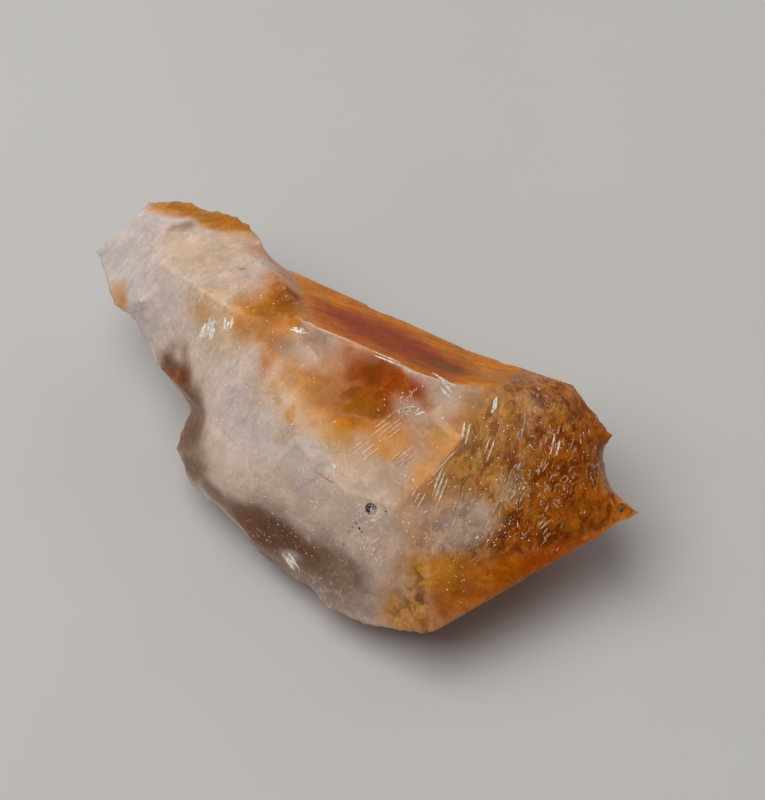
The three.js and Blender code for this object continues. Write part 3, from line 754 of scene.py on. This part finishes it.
def quartz_material():
    """Quartz that is milk-white at one end and clear amber at the other. Milky parts
    scatter light, clear parts let it through, and the inside absorbs blue light."""
    colours = bpy.context.scene.crystal_colours
    t = NodeTable("citrine_quartz")
    places = t.add("ShaderNodeTexCoord").outputs["Object"]
    clarity = t.attribute("clarity")
    growth = t.attribute("growth")
    ridge = t.attribute("ridge")
    crackle = t.attribute("crackle")
    tint = t.attribute("tint", "Color")
    broken = t.math("SUBTRACT", 1.0, growth)
    milky = t.math("SUBTRACT", 1.0, clarity)

    cloud = t.noise(places, 2.2 * MM, detail=6, twist=0.6)
    wisp = t.noise(places, 1.0 * MM, detail=5, rough=0.6, twist=1.5)
    grain = t.noise(places, 0.4 * MM, detail=4, rough=0.6)
    lengthwise = t.noise(t.stretched(places, LENGTHWISE, 12.0), 0.7 * MM, detail=5, rough=0.6)
    upslope = t.noise(t.stretched(places, UPSLOPE, 9.0), 0.5 * MM, detail=5, rough=0.65)
    speck = t.cells(places, 0.5 * MM)
    risen = t.stretched(places, CRACKLED, 1.7)
    swirl = t.noise(risen, 1.0 * MM, detail=5, rough=0.58, twist=0.8)
    fold = t.math("ABSOLUTE", t.math("SUBTRACT", swirl, 0.5))

    # Soft clouds everywhere, and where the crystal is clear, deeper stains and paler spots of painted
    # glow.
    mottle = t.times(t.remap(cloud, 0.3, 0.7, 0.86, 1.10), t.remap(grain, 0.3, 0.7, 0.96, 1.04))
    shade = t.add("ShaderNodeCombineColor", None, _0=mottle, _1=mottle, _2=mottle)
    base = t.blend(1.0, tint, shade.outputs[0], mode="MULTIPLY")
    base, _ = marked(t, base, "stain", clarity, t.remap(wisp, 0.48, 0.70))
    base, _ = marked(t, base, "glow", clarity, t.remap(wisp, 0.44, 0.28))

    # White wisps in the milk, and pale and dark streaks up the break.
    base, _ = marked(t, base, "wisp", t.remap(milky, 0.35, 0.9), t.remap(wisp, 0.52, 0.66))
    streaks = (
        ("fibre", milky, 0.5, 0.9, 0.54, 0.66),
        ("dark_fibre", milky, 0.5, 0.9, 0.46, 0.36),
        ("streak", clarity, 0.25, 0.6, 0.56, 0.68),
        ("dark_streak", clarity, 0.25, 0.6, 0.46, 0.34),
    )
    for kind, ground, ground_low, ground_high, low, high in streaks:
        base, _ = marked(t, base, kind, broken, t.remap(ground, ground_low, ground_high),
                         t.remap(upslope, low, high))

    # Long streaks on the growth faces.
    lined = t.blend(t.remap(lengthwise, 0.32, 0.68), *LINE_TINTS)
    base = t.tinted(t.times(growth, t.remap(clarity, 0.5, 0.8), 0.8), base, lined)

    # Curved folds in the crackled end, darker and paler: partly the flakes' own tone, partly
    # painted light and shade on their curves. Bright cracks along them are painted glints.
    fold_tone_and_shade = t.blend(t.remap(swirl, 0.36, 0.64), *FOLD_TONE_AND_SHADE_TINTS)
    inside = t.times(crackle, broken)
    base = t.tinted(t.times(inside, t.remap(clarity, 0.15, 0.6, 0.3, 0.85)), base, fold_tone_and_shade)
    # Bright gold lines on the folds' crests: painted glints of light off the cracks.
    base, _ = marked(t, base, "crack", inside, t.remap(fold, 0.014, 0.0),
                     t.remap(wisp, 0.47, 0.58))
    # A pale band along the ridges: partly wear of the chipped edges, partly a painted highlight along
    # them.
    base, worn_and_highlit = marked(t, base, "worn_and_highlit", ridge, t.remap(grain, 0.35, 0.70))
    # Tiny pale dots in scattered cells are painted glints, and they also make the skin less clear.
    base, painted_glint = marked(t, base, "painted_glint", t.remap(speck, 0.14, 0.05), t.remap(cloud, 0.50, 0.62))

    # Clearer parts let more light through and are smoother.
    clear = t.times(clarity, t.remap(cloud, 0.25, 0.75, 1.0, 0.8))
    clear = t.math("SUBTRACT", clear, t.math("ADD", t.times(worn_and_highlit, 0.6), t.times(painted_glint, 0.6)))
    through = t.times(t.remap(clear, 0.0, 1.0, MILK_THROUGH, CLEAR_THROUGH),
                      t.remap(growth, 0.0, 1.0, 1.0, GROWTH_THROUGH))
    rough_break = t.remap(clear, 0.0, 1.0, 0.24, 0.15)
    rough_growth = t.remap(clear, 0.0, 1.0, 0.22, 0.12)
    roughness = t.add("ShaderNodeMix", {"data_type": "FLOAT"}, _0=growth,
                      _2=rough_break, _3=rough_growth).outputs[0]
    roughness = t.math("ADD", roughness, t.remap(grain, 0.35, 0.65, -0.02, 0.015))

    fine_bump = t.add("ShaderNodeBump", None, Strength=t.times(broken, milky, 0.35),
                      Distance=GRAIN_BUMP, Height=grain)
    line_bump = t.add("ShaderNodeBump", None, Strength=t.times(growth, 0.3),
                      Distance=LINE_BUMP, Height=lengthwise, Normal=fine_bump.outputs[0])
    crack_bump = t.add("ShaderNodeBump", None, Strength=t.times(inside, 0.8),
                       Distance=FOLD_BUMP, Height=swirl, Normal=line_bump.outputs[0])

    shader = t.add("ShaderNodeBsdfPrincipled", None, **{
        "Base Color": base,
        "Roughness": roughness,
        "IOR": colours.ior,
        "Specular IOR Level": 0.0,
        "Specular Tint": (*colours.sheen, 1),
        "Coat Weight": t.times(t.remap(growth, 0.0, 1.0, colours.gloss, colours.growth_gloss),
                               t.remap(clarity, 0.3, 0.8, 1.0, 0.35)),
        "Coat Roughness": 0.14,
        "Transmission Weight": through,
        "Normal": crack_bump.outputs[0],
        "Subsurface Weight": 0.6,
        "Subsurface Radius": (1.0, 0.6, 0.38),
        "Subsurface Scale": 1.4 * MM,
    })
    volume = t.add("ShaderNodeVolumeAbsorption", None,
                   Color=(*colours.absorption, 1), Density=colours.absorption_density)
    return t.finish(shader.outputs[0], volume.outputs[0])


class CRYSTAL_OT_build_skin(bpy.types.Operator):
    """Grow the crystal's fine skin over its CAD solid"""

    bl_idname = "crystal.build_skin"
    bl_label = "Crystal Skin"

    def execute(self, context):
        skin = add_piece("crystal_skin", grow_skin(), quartz_material())
        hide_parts(NODE)
        return {"FINISHED"}


# ------------------------------------------------------------------ what is sealed in it

def read_skin():
    """Places, outward directions and nearness to a ridge of the finished skin's points."""
    mesh = bpy.data.objects["crystal_skin"].data
    ridge = np.empty(len(mesh.vertices))
    mesh.attributes["ridge"].data.foreach_get("value", ridge)
    return read_points(mesh), read_normals(mesh), ridge


def unit(rows):
    """Each row at length one."""
    return rows / np.linalg.norm(rows, axis=-1, keepdims=True)


def skin_height_of(points, skin):
    """How far each point stands out of the skin, and the skin's direction there, from
    the nearest skin point."""
    places, normals, _ = skin
    nearest = np.empty(len(points), dtype=np.int64)
    block = 200
    square = (places ** 2).sum(axis=1)
    for start in range(0, len(points), block):
        gaps = square[None] - 2 * points[start:start + block] @ places.T
        nearest[start:start + block] = gaps.argmin(axis=1)
    out = normals[nearest]
    return ((points - places[nearest]) * out).sum(axis=1), out


def settle(points, skin, depth):
    """Moves each point along the skin's direction until it lies that deep under it, or
    that far out of it where the depth is negative."""
    height, out = skin_height_of(points, skin)
    return points - out * (height + depth)[:, None], out


def seal(points, out, skin, depth):
    """Moves each whole shard until its highest point lies that deep under the skin, or
    that far out of it where the depth is negative."""
    height, _ = skin_height_of(points.reshape(-1, 3), skin)
    highest = height.reshape(points.shape[:2]).max(axis=1)
    return points - (out * (highest + depth)[:, None])[:, None]


def scatter(skin, spots, count, seed):
    """Seeded picks among the skin's points away from its ridges, likelier near the spots,
    each of which is a place in the crystal's box and a reach in millimetres:
    exp(-(distance / reach)^2)."""
    points, normals, ridge = skin
    weight = np.zeros(len(points))
    for middle, reach in spots:
        gap = (points - place(*middle)) / (reach * MM)
        weight += np.exp(-(gap ** 2).sum(axis=1))
    weight *= (normals[:, 2] > -0.3) & (ridge < 0.3)
    rng = np.random.default_rng(seed)
    pick = rng.choice(len(points), count, replace=False, p=weight / weight.sum())
    return points[pick], normals[pick], rng


def shards(middle, along, across, out, size, bend, ragged, turns, rng):
    """Closed lens-shaped shards, all at once. With turn from 0 to 2 pi round a shard and
    rise from its lowest point to its highest, a point is along x cos(rise) x cos(turn) +
    across x cos(rise) x sin(turn) + out x sin(rise), each times half the shard's length,
    width or thickness. Its rim is ragged, and it bends outwards by bend x half its length
    x (share of the way to its rim)^2. Also gives each point's rise out of its shard."""
    rises = np.array([-0.6, 0.0, 0.6])
    turn = np.linspace(0, 2 * math.pi, turns, endpoint=False)
    count = len(middle)
    rim = 1 + ragged * (rng.random((count, 1, turns)) - 0.5)
    flat = np.cos(rises)[None, :, None] * rim
    a = (flat * np.cos(turn)).reshape(count, -1)
    b = (flat * np.sin(turn)).reshape(count, -1)
    c = np.broadcast_to(np.sin(rises)[None, :, None], flat.shape).reshape(count, -1)
    poles = np.zeros((count, 2))
    a, b = np.hstack([a, poles]), np.hstack([b, poles])
    c = np.hstack([c, poles + np.array([-1.0, 1.0])])
    half = size / 2
    lift = bend[:, None] * (a ** 2 + b ** 2) * half[:, :1]
    points = (
        middle[:, None] + a[..., None] * (along * half[:, :1])[:, None]
        + b[..., None] * (across * half[:, 1:2])[:, None]
        + (c * half[:, 2:] + lift)[..., None] * out[:, None]
    )
    return points, c * half[:, 2:]


def shard_faces(count, turns):
    """Triangles of that many shards: two belts between three rims, and a fan at each
    pole."""
    here = np.arange(turns)
    after = (here + 1) % turns
    bottom, top = 3 * turns, 3 * turns + 1
    faces = [np.stack([np.full(turns, bottom), after, here], axis=1)]
    for belt in range(2):
        low, high = belt * turns, (belt + 1) * turns
        faces.append(np.stack([low + here, low + after, high + after], axis=1))
        faces.append(np.stack([low + here, high + after, high + here], axis=1))
    faces.append(np.stack([2 * turns + here, 2 * turns + after, np.full(turns, top)], axis=1))
    one = np.vstack(faces)
    steps = np.arange(count)[:, None, None] * (3 * turns + 2)
    return (one[None] + steps).reshape(-1, 3)


def shard_mesh(name, points, turns, tint):
    """Mesh of all the shards, with a colour for each shard."""
    mesh = bpy.data.meshes.new(name)
    faces = shard_faces(len(points), turns)
    mesh.from_pydata(points.reshape(-1, 3), [], faces)
    write_colour(mesh, "tint", np.repeat(tint, points.shape[1], axis=0))
    mesh.validate()
    return mesh


def laid_flat(direction, out):
    """Directions turned square to the outward ones, at length one: what is left of each
    after its share along the outward one is taken away."""
    return unit(direction - (direction * out).sum(axis=1, keepdims=True) * out)


def beside(out, rng, lean=(0, 0, 0)):
    """For each outward direction, two directions at right angles to it, turned at
    random round it, with the first near the lean where one is given."""
    along = laid_flat(np.array(lean) + 0.45 * rng.normal(size=out.shape), out)
    return along, np.cross(out, along)


def tilted(out, tilt, rng):
    """The outward directions, each tipped at random by about that tilt."""
    return unit(out + tilt * rng.normal(size=out.shape))


def drawn(rng, count, least, extra, power=1):
    """Random numbers, least + extra x r^power with r from 0 to 1, so that a high power
    crowds them near the least."""
    return least + extra * rng.random(count) ** power


def inclusion_material(name, roughness, through):
    """Glassy or sooty inclusion: its own colour with a fine cloud and a fine bump."""
    colours = bpy.context.scene.crystal_colours
    t = NodeTable(name)
    places = t.add("ShaderNodeTexCoord").outputs["Object"]
    cloud = t.noise(places, 0.35 * MM, detail=4, twist=0.8)
    shade = t.blend(t.remap(cloud, 0.35, 0.65), (0.75, 0.68, 0.6, 1), (1.08, 1.1, 1.15, 1))
    base = t.blend(1.0, t.attribute("tint", "Color"), shade, mode="MULTIPLY")
    rough = t.remap(cloud, 0.3, 0.7, roughness * 0.7, roughness * 1.4)
    bump = t.add("ShaderNodeBump", None, Strength=0.4, Distance=0.02 * MM, Height=cloud)
    shader = t.add("ShaderNodeBsdfPrincipled", None, **{
        "Base Color": base,
        "Roughness": rough,
        "IOR": colours.ior,
        "Transmission Weight": through,
        "Normal": bump.outputs[0],
    })
    return t.finish(shader.outputs[0])


# Where curved golden flakes gather in the crackled end: place and reach in millimetres.
FLAKE_SPOTS = (
    ((0.50, 0.12, 0.82), 1.7), ((0.57, 0.20, 0.75), 2.6), ((0.62, 0.50, 0.72), 2.8),
    ((0.66, 0.20, 0.66), 2.8), ((0.54, -0.08, 0.76), 1.6), ((0.74, 0.15, 0.60), 2.8),
    ((0.75, -0.10, 0.54), 2.6), ((0.78, 0.55, 0.58), 2.6),
)
# Healed cracks, each a curved sheet: place, direction, length in millimetres, and a
# breadth that VEIL_NARROWING turns into its width in millimetres.
VEIL_NARROWING = 0.4
VEILS = (
    ((0.64, 0.04, 0.67), (-0.22, 0.96, 0.17), 2.4, 0.9),
    ((0.66, 0.00, 0.65), (0.30, 0.80, 0.30), 2.0, 0.8),
    ((0.61, 0.10, 0.69), (-0.40, 0.80, 0.20), 1.7, 0.7),
    ((0.63, -0.14, 0.65), (-0.10, 0.90, 0.40), 2.2, 0.8),
    ((0.56, -0.46, 0.60), (0.50, 0.70, -0.20), 2.4, 0.8),
    ((0.52, -0.28, 0.69), (-0.06, 0.81, 0.58), 2.2, 0.7),
    ((0.53, 0.22, 0.79), (-0.25, 0.94, 0.15), 2.8, 0.6),
    ((0.49, 0.02, 0.83), (-0.20, 0.93, 0.30), 2.6, 0.6),
    ((0.58, 0.38, 0.75), (-0.40, 0.90, 0.10), 2.4, 0.7),
    ((0.66, 0.60, 0.70), (-0.60, 0.75, 0.10), 2.2, 0.7),
    ((0.72, 0.30, 0.63), (-0.10, 0.98, 0.10), 2.2, 0.6),
    ((0.78, 0.02, 0.54), (0.40, 0.80, 0.20), 2.2, 0.7),
    ((0.27, 0.02, 0.895), (0.85, 0.30, 0.40), 1.6, 0.8),
    ((0.14, -0.53, 0.70), (0.80, -0.20, 0.10), 2.6, 0.7),
    ((-0.50, 0.50, 0.82), (0.90, 0.20, 0.20), 2.8, 0.9),
)
# Where small bright breaks gather in the pale part.
PALE_SPOTS = (
    ((0.50, -0.40, 0.66), 1.6), ((0.63, -0.20, 0.62), 1.8), ((0.27, 0.03, 0.90), 1.3),
    ((0.13, -0.54, 0.70), 1.8), ((0.33, -0.72, 0.56), 1.2), ((0.06, -0.87, 0.27), 0.7),
    ((-0.14, 0.18, 0.92), 0.9), ((0.64, 0.05, 0.66), 1.3), ((0.40, -0.30, 0.75), 1.6),
)
# Where tiny bright grains, painted glints, glitter.
GLITTER_SPOTS = (
    ((0.13, -0.54, 0.70), 2.2), ((0.04, -0.39, 0.76), 2.4), ((0.30, -0.62, 0.64), 2.0),
    ((0.27, 0.00, 0.89), 1.8), ((0.50, -0.42, 0.66), 2.4), ((0.63, -0.22, 0.62), 2.2),
    ((0.50, 0.10, 0.82), 3.0), ((0.66, 0.25, 0.66), 4.0), ((0.62, -0.60, 0.48), 2.2),
    ((-0.40, 0.40, 0.84), 2.6), ((-0.15, 0.16, 0.92), 1.2), ((-0.45, 0.08, 0.76), 2.0),
    ((-0.20, -0.30, 0.75), 4.0), ((0.05, -0.82, 0.36), 3.0),
)
# Thickness of healed cracks and of slivers, in millimetres.
SHEET_THICKNESS = 0.06
# Groups of straight parallel slivers: place, direction, length, width and gap in
# millimetres, how many, and how bright they are from honey to white.
SLIVER_GROUPS = (
    ((-0.455, 0.05, 0.72), (-0.03, 0.61, 0.79), 2.2, 0.30, 0.32, 5, 0.95),
    ((-0.475, 0.02, 0.69), (0.02, 0.61, 0.79), 1.4, 0.22, 0.28, 3, 0.9),
    ((-0.39, 0.08, 0.80), (-0.29, 0.82, 0.49), 1.4, 0.30, 0.36, 3, 0.95),
    ((0.24, -0.13, 0.84), (0.44, 0.79, 0.43), 2.8, 0.11, 0.34, 5, 0.30),
    ((0.32, -0.24, 0.80), (0.40, 0.80, 0.43), 2.2, 0.11, 0.28, 4, 0.30),
    ((0.20, -0.30, 0.78), (0.44, 0.79, 0.43), 2.4, 0.10, 0.42, 4, 0.55),
    ((0.46, -0.26, 0.75), (-0.06, 0.81, 0.58), 2.7, 0.16, 0.40, 3, 0.75),
    ((0.41, -0.38, 0.72), (0.10, 0.81, 0.56), 1.6, 0.16, 0.40, 3, 0.6),
    ((0.49, 0.37, 0.84), (-0.26, 0.97, -0.04), 2.5, 0.42, 0.70, 1, 1.0),
    ((0.46, 0.10, 0.87), (-0.25, 0.93, 0.25), 2.5, 0.20, 0.45, 2, 0.8),
    ((0.54, 0.10, 0.80), (-0.22, 0.95, 0.20), 2.6, 0.14, 0.60, 2, 0.5),
    ((0.69, 0.42, 0.67), (-0.25, 0.94, 0.22), 2.1, 0.18, 0.50, 2, 0.7),
    ((0.64, -0.16, 0.64), (-0.16, 0.80, 0.58), 1.6, 0.12, 0.50, 2, 0.5),
    ((0.32, 0.28, 0.94), (0.91, -0.36, 0.20), 2.4, 0.50, 0.45, 1, 1.0),
    ((0.35, 0.24, 0.92), (0.91, -0.36, 0.20), 1.5, 0.26, 0.45, 2, 0.9),
    ((-0.15, 0.17, 0.92), (0.87, 0.06, 0.48), 2.3, 0.30, 0.30, 2, 0.95),
    ((0.14, 0.21, 0.985), (1.0, 0.04, 0.05), 4.6, 0.14, 0.30, 2, 0.8),
    ((0.45, -0.12, 0.82), (0.30, 0.87, 0.39), 3.8, 0.13, 0.30, 1, 0.6),
    ((0.08, -0.87, 0.26), (0.81, -0.31, -0.50), 1.7, 0.42, 0.36, 3, 1.0),
)
# Black specks: place and width in millimetres.
SPECKS = (
    ((0.285, -0.67, 0.590), 0.20), ((0.270, -0.655, 0.600), 0.15), ((0.295, -0.66, 0.575), 0.13),
    ((0.262, -0.675, 0.580), 0.12), ((0.280, -0.64, 0.615), 0.11), ((0.255, -0.70, 0.560), 0.12),
    ((0.345, -0.56, 0.690), 0.14), ((0.25, -0.76, 0.50), 0.12), ((-0.41, 0.60, 0.79), 0.14),
    ((0.95, 0.36, 0.49), 0.30), ((0.94, 0.40, 0.49), 0.22), ((0.62, 0.62, 0.73), 0.20),
)


def warm_white(share):
    """Colours between honey, at 0, and bright white, at 1."""
    colours = bpy.context.scene.crystal_colours
    honey, glint = np.array(colours.honey), np.array(colours.glint)
    return honey + (glint - honey) * np.asarray(share)[:, None]


def add_shards(name, points, turns, tint, material, roughness, through):
    """A piece of finished shards, with a colour for each shard."""
    mesh = shard_mesh(name, points, turns, tint)
    add_piece(name, mesh, inclusion_material(material, roughness, through))


class CRYSTAL_OT_build_flakes(bpy.types.Operator):
    """Set curved golden flakes in the skin of the crackled end"""

    bl_idname = "crystal.build_flakes"
    bl_label = "Golden Flakes"

    def execute(self, context):
        shape = context.scene.crystal_shape
        skin = read_skin()
        count, turns = 700, 8
        middle, out, rng = scatter(skin, FLAKE_SPOTS, count, seed=401)
        facing = tilted(out, 0.28, rng)
        along, across = beside(facing, rng, CRACKLED)
        size = np.stack([
            drawn(rng, count, 0.5, 0.9) * MM,
            drawn(rng, count, 0.12, 0.3) * MM,
            np.full(count, 0.04 * MM),
        ], axis=1)
        bend = -drawn(rng, count, 0, 0.25)
        points, _ = shards(middle, along, across, facing, size, bend, 0.7, turns, rng)
        points = seal(points, out, skin, -drawn(rng, count, 0, shape.flake_rise))
        tint = warm_white(drawn(rng, count, 0, 0.75, power=2.5))
        add_shards("golden_flakes", points, turns, tint, "golden_flake", roughness=0.22, through=0.5)
        return {"FINISHED"}


class CRYSTAL_OT_build_veils(bpy.types.Operator):
    """Set curved pale sheets, the healed cracks, in the skin"""

    bl_idname = "crystal.build_veils"
    bl_label = "Healed Cracks"

    def execute(self, context):
        skin = read_skin()
        rng = np.random.default_rng(seed=551)
        turns = 22
        count = len(VEILS)
        middle = np.array([place(*veil[0]) for veil in VEILS])
        middle, out = settle(middle, skin, 0.0)
        facing = tilted(out, 0.2, rng)
        along = laid_flat(np.array([veil[1] for veil in VEILS]), facing)
        across = np.cross(facing, along)
        size = MM * np.array([
            (length, VEIL_NARROWING * breadth, SHEET_THICKNESS)
            for _, _, length, breadth in VEILS
        ])
        bend = -drawn(rng, count, 0.04, 0.06)
        points, _ = shards(middle, along, across, facing, size, bend, 0.45, turns, rng)
        points = seal(points, out, skin, np.full(count, -0.09 * MM))
        tint = warm_white(drawn(rng, count, 0.15, 0.45))
        add_shards("healed_cracks", points, turns, tint, "healed_crack", roughness=0.3, through=0.5)
        return {"FINISHED"}


class CRYSTAL_OT_build_breaks(bpy.types.Operator):
    """Set small bright breaks in the skin of the pale part, their near-white partly painted glint"""

    bl_idname = "crystal.build_breaks"
    bl_label = "Bright Breaks"

    def execute(self, context):
        skin = read_skin()
        count, turns = 190, 7
        middle, out, rng = scatter(skin, PALE_SPOTS, count, seed=431)
        facing = tilted(out, 0.12, rng)
        along, across = beside(facing, rng, CRACKLED)
        size = np.stack([
            drawn(rng, count, 0.15, 0.75, power=2) * MM,
            drawn(rng, count, 0.06, 0.09) * MM,
            np.full(count, 0.05 * MM),
        ], axis=1)
        flat = np.zeros(count)
        points, _ = shards(middle, along, across, facing, size, flat, 0.8, turns, rng)
        points = seal(points, out, skin, np.full(count, -0.04 * MM))
        tint = warm_white(drawn(rng, count, 0.4, 0.55))
        add_shards("bright_breaks", points, turns, tint, "bright_break", roughness=0.2, through=0.1)
        return {"FINISHED"}


class CRYSTAL_OT_build_slivers(bpy.types.Operator):
    """Lay groups of straight parallel slivers in the skin"""

    bl_idname = "crystal.build_slivers"
    bl_label = "Parallel Slivers"

    def execute(self, context):
        skin = read_skin()
        rng = np.random.default_rng(seed=461)
        turns = 14
        rows = []
        for middle, direction, length, width, gap, count, bright in SLIVER_GROUPS:
            centre, out = settle(place(*middle)[None], skin, 0.0)
            along = laid_flat(np.array(direction)[None], out)[0]
            across = np.cross(out[0], along)
            for step in range(count):
                aside = (step - (count - 1) / 2 + 0.3 * (rng.random() - 0.5)) * gap
                ahead = 0.35 * length * (rng.random() - 0.5)
                size = (length * (0.55 + 0.45 * rng.random()), width, SHEET_THICKNESS)
                spot = centre[0] + (across * aside + along * ahead) * MM
                rows.append((spot, along, across, out[0], size, bright))
        middle, along, across, out, size, bright = (np.array(part) for part in zip(*rows))
        flat = np.zeros(len(middle))
        points, rise = shards(middle, along, across, out, size * MM, flat, 0.5, turns, rng)
        shape = points.shape
        points, out = settle(points.reshape(-1, 3), skin, -0.01 * MM)
        points = (points + out * rise.reshape(-1, 1)).reshape(shape)
        tint = warm_white(bright)
        add_shards("parallel_slivers", points, turns, tint, "bright_sliver",
                   roughness=0.25, through=0.1)
        return {"FINISHED"}


class CRYSTAL_OT_build_glitter(bpy.types.Operator):
    """Scatter tiny bright grains in the skin, near-white painted glints"""

    bl_idname = "crystal.build_glitter"
    bl_label = "Glitter"

    def execute(self, context):
        skin = read_skin()
        count, turns = 900, 5
        middle, out, rng = scatter(skin, GLITTER_SPOTS, count, seed=491)
        facing = tilted(out, 0.3, rng)
        along, across = beside(facing, rng)
        width = drawn(rng, count, 0.04, 0.10, power=2) * MM
        size = np.stack([width * 1.6, width, width * 0.6], axis=1)
        flat = np.zeros(count)
        points, _ = shards(middle, along, across, facing, size, flat, 0.6, turns, rng)
        tint = warm_white(drawn(rng, count, 0.6, 0.4))
        add_shards("glitter", points, turns, tint, "glitter_grain", roughness=0.15, through=0.0)
        return {"FINISHED"}


class CRYSTAL_OT_build_specks(bpy.types.Operator):
    """Set black specks in the skin near the pit and the tip"""

    bl_idname = "crystal.build_specks"
    bl_label = "Black Specks"

    def execute(self, context):
        skin = read_skin()
        colours = context.scene.crystal_colours
        rng = np.random.default_rng(seed=521)
        turns = 8
        middle = np.array([place(*spot) for spot, _ in SPECKS])
        middle, out = settle(middle, skin, 0.0)
        along, across = beside(out, rng)
        width = np.array([width for _, width in SPECKS]) * MM
        size = np.stack([width * 1.2, width, width * 0.5], axis=1)
        flat = np.zeros(len(middle))
        points, _ = shards(middle, along, across, out, size, flat, 0.5, turns, rng)
        tint = np.tile(colours.soot, (len(middle), 1))
        add_shards("black_specks", points, turns, tint, "soot_speck", roughness=0.35, through=0.0)
        return {"FINISHED"}


# ------------------------------------------------------------------ the stage

def floor_material():
    """Matt pale card with a very faint mottle."""
    stage = bpy.context.scene.crystal_stage
    t = NodeTable("pale_floor")
    places = t.add("ShaderNodeTexCoord").outputs["Object"]
    mottle = t.remap(t.noise(places, 60 * MM), 0.3, 0.7, 0.0, 0.05)
    colour = t.blend(mottle, (*stage.floor_colour, 1), (1, 1, 1, 1))
    shader = t.add("ShaderNodeBsdfPrincipled", None,
                   **{"Base Color": colour, "Roughness": 0.7})
    return t.finish(shader.outputs[0])


def soft_light(name, power, width, spot, target, colour):
    """A square area light at one place that faces another."""
    data = bpy.data.lights.new(name, "AREA")
    data.energy, data.size, data.color = power, width, colour
    light = bpy.data.objects.new(name, data)
    light.location = spot
    light.rotation_euler = (Vector(target) - Vector(spot)).to_track_quat("-Z", "Y").to_euler()
    bpy.context.scene.collection.objects.link(light)


# What the camera and the lights face, as a place in the crystal's box.
AIM = (0.0924, 0.3725, 0.4369)
# The lights: name, setting that holds its power, width, place from there, and colour.
LIGHTS = (
    ("key_light", "key_power", 0.34, (-0.12, -0.05, 0.36), (1.0, 0.985, 0.96)),
    ("fill_light", "fill_power", 0.25, (0.03, 0.30, 0.17), (1.0, 0.97, 0.94)),
)
ROOM_COLOUR = (0.95, 0.96, 1.0, 1)


class CRYSTAL_OT_build_stage(bpy.types.Operator):
    """Set the floor, the lights and the camera"""

    bl_idname = "crystal.build_stage"
    bl_label = "Stage"

    def execute(self, context):
        scene = context.scene
        stage = scene.crystal_stage
        half = stage.floor_width / 2
        corners = [(-half, -half), (half, -half), (half, half), (-half, half)]
        mesh = bpy.data.meshes.new("floor")
        mesh.from_pydata([(x, y, CAD_LOW[2]) for x, y in corners], [], [(0, 1, 2, 3)])
        mesh.materials.append(floor_material())
        floor = bpy.data.objects.new("floor", mesh)
        scene.collection.objects.link(floor)

        aim = place(*AIM)
        for name, power, width, offset, colour in LIGHTS:
            spot = aim + np.array(offset)
            soft_light(name, getattr(stage, power), width, spot, aim, colour)
        world = bpy.data.worlds.new("soft_room")
        world.use_nodes = True
        background = world.node_tree.nodes["Background"]
        background.inputs["Color"].default_value = ROOM_COLOUR
        background.inputs["Strength"].default_value = stage.world_strength
        scene.world = world

        data = bpy.data.cameras.new("camera")
        data.lens = stage.lens
        data.clip_start, data.clip_end = 0.01, 10
        camera = bpy.data.objects.new("camera", data)
        back = Vector((
            math.sin(stage.azimuth) * math.cos(stage.elevation),
            -math.cos(stage.azimuth) * math.cos(stage.elevation),
            math.sin(stage.elevation),
        ))
        camera.location = Vector(aim) + back * stage.distance
        camera.rotation_euler = (-back).to_track_quat("-Z", "Y").to_euler()
        scene.collection.objects.link(camera)
        scene.camera = camera
        scene.view_settings.view_transform = "Standard"
        return {"FINISHED"}


class CRYSTAL_PT_panel(bpy.types.Panel):
    """Lists the crystal's operators and settings"""

    bl_idname = "CRYSTAL_PT_panel"
    bl_label = "Citrine Crystal Point"
    bl_space_type = "VIEW_3D"
    bl_region_type = "UI"
    bl_category = "Citrine"

    def draw(self, context):
        for operator in OPERATORS:
            self.layout.operator(operator.bl_idname)
        for name, group in SETTINGS.items():
            box = self.layout.box()
            for key in group.__annotations__:
                box.prop(getattr(context.scene, name), key)


OPERATORS = (
    CRYSTAL_OT_build_skin,
    CRYSTAL_OT_build_flakes,
    CRYSTAL_OT_build_veils,
    CRYSTAL_OT_build_breaks,
    CRYSTAL_OT_build_slivers,
    CRYSTAL_OT_build_glitter,
    CRYSTAL_OT_build_specks,
    CRYSTAL_OT_build_stage,
)
SETTINGS = {
    "crystal_shape": CrystalShapeSettings,
    "crystal_colours": CrystalColourSettings,
    "crystal_stage": CrystalStageSettings,
}


def register():
    for group in SETTINGS.values():
        bpy.utils.register_class(group)
    for operator in OPERATORS:
        bpy.utils.register_class(operator)
    bpy.utils.register_class(CRYSTAL_PT_panel)
    for name, group in SETTINGS.items():
        setattr(bpy.types.Scene, name, bpy.props.PointerProperty(type=group))


def unregister():
    for name in SETTINGS:
        delattr(bpy.types.Scene, name)
    bpy.utils.unregister_class(CRYSTAL_PT_panel)
    for operator in reversed(OPERATORS):
        bpy.utils.unregister_class(operator)
    for group in reversed(SETTINGS.values()):
        bpy.utils.unregister_class(group)


def main():
    register()
    bpy.ops.crystal.build_skin()
    bpy.ops.crystal.build_flakes()
    bpy.ops.crystal.build_veils()
    bpy.ops.crystal.build_breaks()
    bpy.ops.crystal.build_slivers()
    bpy.ops.crystal.build_glitter()
    bpy.ops.crystal.build_specks()
    bpy.ops.crystal.build_stage()


if __name__ == "__main__":
    main()
